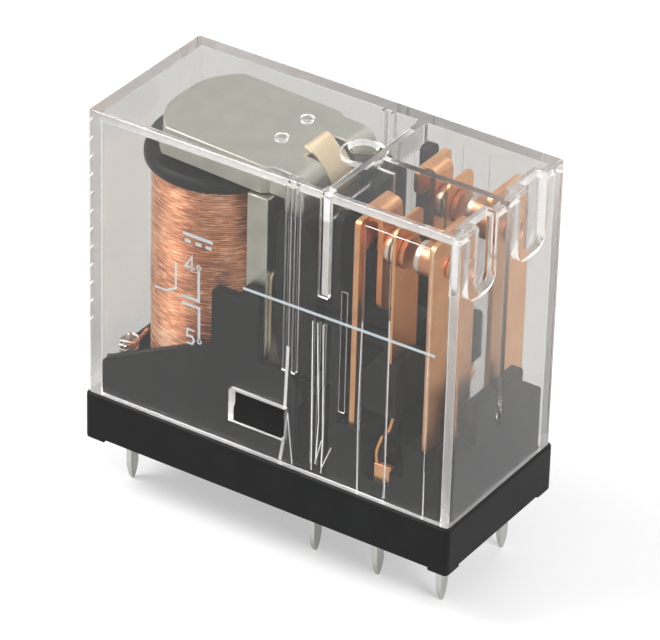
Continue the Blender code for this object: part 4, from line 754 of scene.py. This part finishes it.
# A pale speckled white, which is painted highlight on the cover's ribs and edge.
PAINTED_HIGHLIGHT = speckled("painted highlights, pale", HIGHLIGHT_GREY, HIGHLIGHT_WHITE, specks=2600.0, detail=3.0, roughness=0.4)
highlight_strips = bmesh.new()
for width, face, film, path in WIDE_HIGHLIGHTS:
    ink_strip(highlight_strips, path, width, face, film)
for path in FINE_HIGHLIGHTS:
    ink_strip(highlight_strips, path, FINE_HIGHLIGHT_WIDTH, HIGHLIGHT_FACE, HIGHLIGHT_FILM)
for number in range(NICKS):
    low = LOWEST_NICK + NICK_STEP * number
    nick = [(NICK_LEFT, low), (NICK_RIGHT, low + NICK_RISE)]
    ink_strip(highlight_strips, nick, NICK_WIDTH, CORNER_FACE, THIN_FILM)
painted_highlights = laid_on(highlight_strips, "cover_painted_highlights", PAINTED_HIGHLIGHT)
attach(painted_highlights, "housing")


# Floor: a large white sheet of paper under the pins. It glows only where it is seen, itself, through the
# cover or in gloss, so it throws no light on the relay and keeps its shadow. It glows more with distance.
FLOOR_HALF = 1.5
FLOOR_NEAR = 0.1
FLOOR_FAR = 0.6
NEAR_GLOW = 0.44
FAR_GLOW = 0.9
FLOOR_IN_GLOSS = 0.7
PAPER_TONE = (0.5, 0.5, 0.5)
PAPER_FIBRES = 900.0


def seen_directly(tree, in_gloss):
    """1 for what is seen by eye or through glass, a share of it in gloss, and 0 for light on the object."""
    ray = joined(tree, "ShaderNodeLightPath").outputs
    through = reckoned(tree, "MAXIMUM", ray["Is Camera Ray"], ray["Is Transmission Ray"])
    return reckoned(tree, "MAXIMUM", through, reckoned(tree, "MULTIPLY", ray["Is Glossy Ray"], in_gloss))


floor_mesh = bpy.data.meshes.new("floor")
corners = [(x * FLOOR_HALF, y * FLOOR_HALF, 0.0) for x, y in ((-1, -1), (1, -1), (1, 1), (-1, 1))]
floor_mesh.from_pydata(corners, [], [(0, 1, 2, 3)])
floor = bpy.data.objects.new("floor", floor_mesh)
bpy.context.scene.collection.objects.link(floor)
paper, tree, shader, place = material_of("white paper")
fibre = noise(tree, place, PAPER_FIBRES, detail=3.0)
tree.links.new(around(tree, 0.75, fibre, spread=0.1), shader.inputs["Roughness"])
shader.inputs["Base Color"].default_value = (*PAPER_TONE, 1.0)
shader.inputs["Specular IOR Level"].default_value = 0.2
away = joined(tree, "ShaderNodeVectorMath", {0: place}, operation="LENGTH").outputs["Value"]
glow_level = ranged(tree, away, FLOOR_NEAR, FLOOR_FAR, NEAR_GLOW, FAR_GLOW)
glow = joined(tree, "ShaderNodeEmission", {"Strength": glow_level})
dark = joined(tree, "ShaderNodeEmission", {"Strength": 0.0})
seen = seen_directly(tree, FLOOR_IN_GLOSS)
lit = joined(tree, "ShaderNodeMixShader", {0: seen, 1: dark.outputs[0], 2: glow.outputs[0]})
added = joined(tree, "ShaderNodeAddShader", {0: shader.outputs[0], 1: lit.outputs[0]})
tree.links.new(added.outputs[0], tree.nodes["Material Output"].inputs["Surface"])
floor_mesh.materials.append(paper)


# Light: a soft lamp above and to the left, one at the right and a weak one behind, in a pale room. In gloss,
# the wall of the room in front and to the right is darker than the others.
LAMP_TARGET = Vector((0.0, 0.0, 0.012))
ROOM_LIGHT = 0.45
DARK_SIDE = (0.54, -0.84, 0.0)
DARK_STARTS = 0.70
DARK_FULL = 0.92
WALL_GLOSS = 0.75
DARK_GLOSS = 0.25


def soft_lamp(name, place, size, power):
    """A square lamp turned to the middle of the relay."""
    lamp = bpy.data.lights.new(name, "AREA")
    lamp.shape = "SQUARE"
    lamp.size = size
    lamp.energy = power
    made = bpy.data.objects.new(name, lamp)
    made.location = place
    made.rotation_euler = (LAMP_TARGET - Vector(place)).to_track_quat("-Z", "Y").to_euler()
    bpy.context.scene.collection.objects.link(made)


soft_lamp("key lamp", (-0.25, -0.16, 0.34), size=0.18, power=1.8)
soft_lamp("side lamp", (0.4, -0.1, 0.22), size=0.22, power=1.8)
soft_lamp("back lamp", (0.04, 0.36, 0.30), size=0.25, power=0.55)

room = bpy.data.worlds.new("pale room")
room.use_nodes = True
bpy.context.scene.world = room
tree = room.node_tree
background = tree.nodes["Background"]
background.inputs["Color"].default_value = (1.0, 1.0, 1.0, 1.0)
direction = joined(tree, "ShaderNodeTexCoord").outputs["Generated"]
side = joined(tree, "ShaderNodeVectorMath", {0: direction, 1: DARK_SIDE}, operation="DOT_PRODUCT")
wall = ranged(tree, side.outputs["Value"], DARK_STARTS, DARK_FULL, WALL_GLOSS, DARK_GLOSS)
strength = ranged(tree, seen_directly(tree, wall), 0.0, 1.0, ROOM_LIGHT, 1.0)
tree.links.new(strength, background.inputs["Strength"])
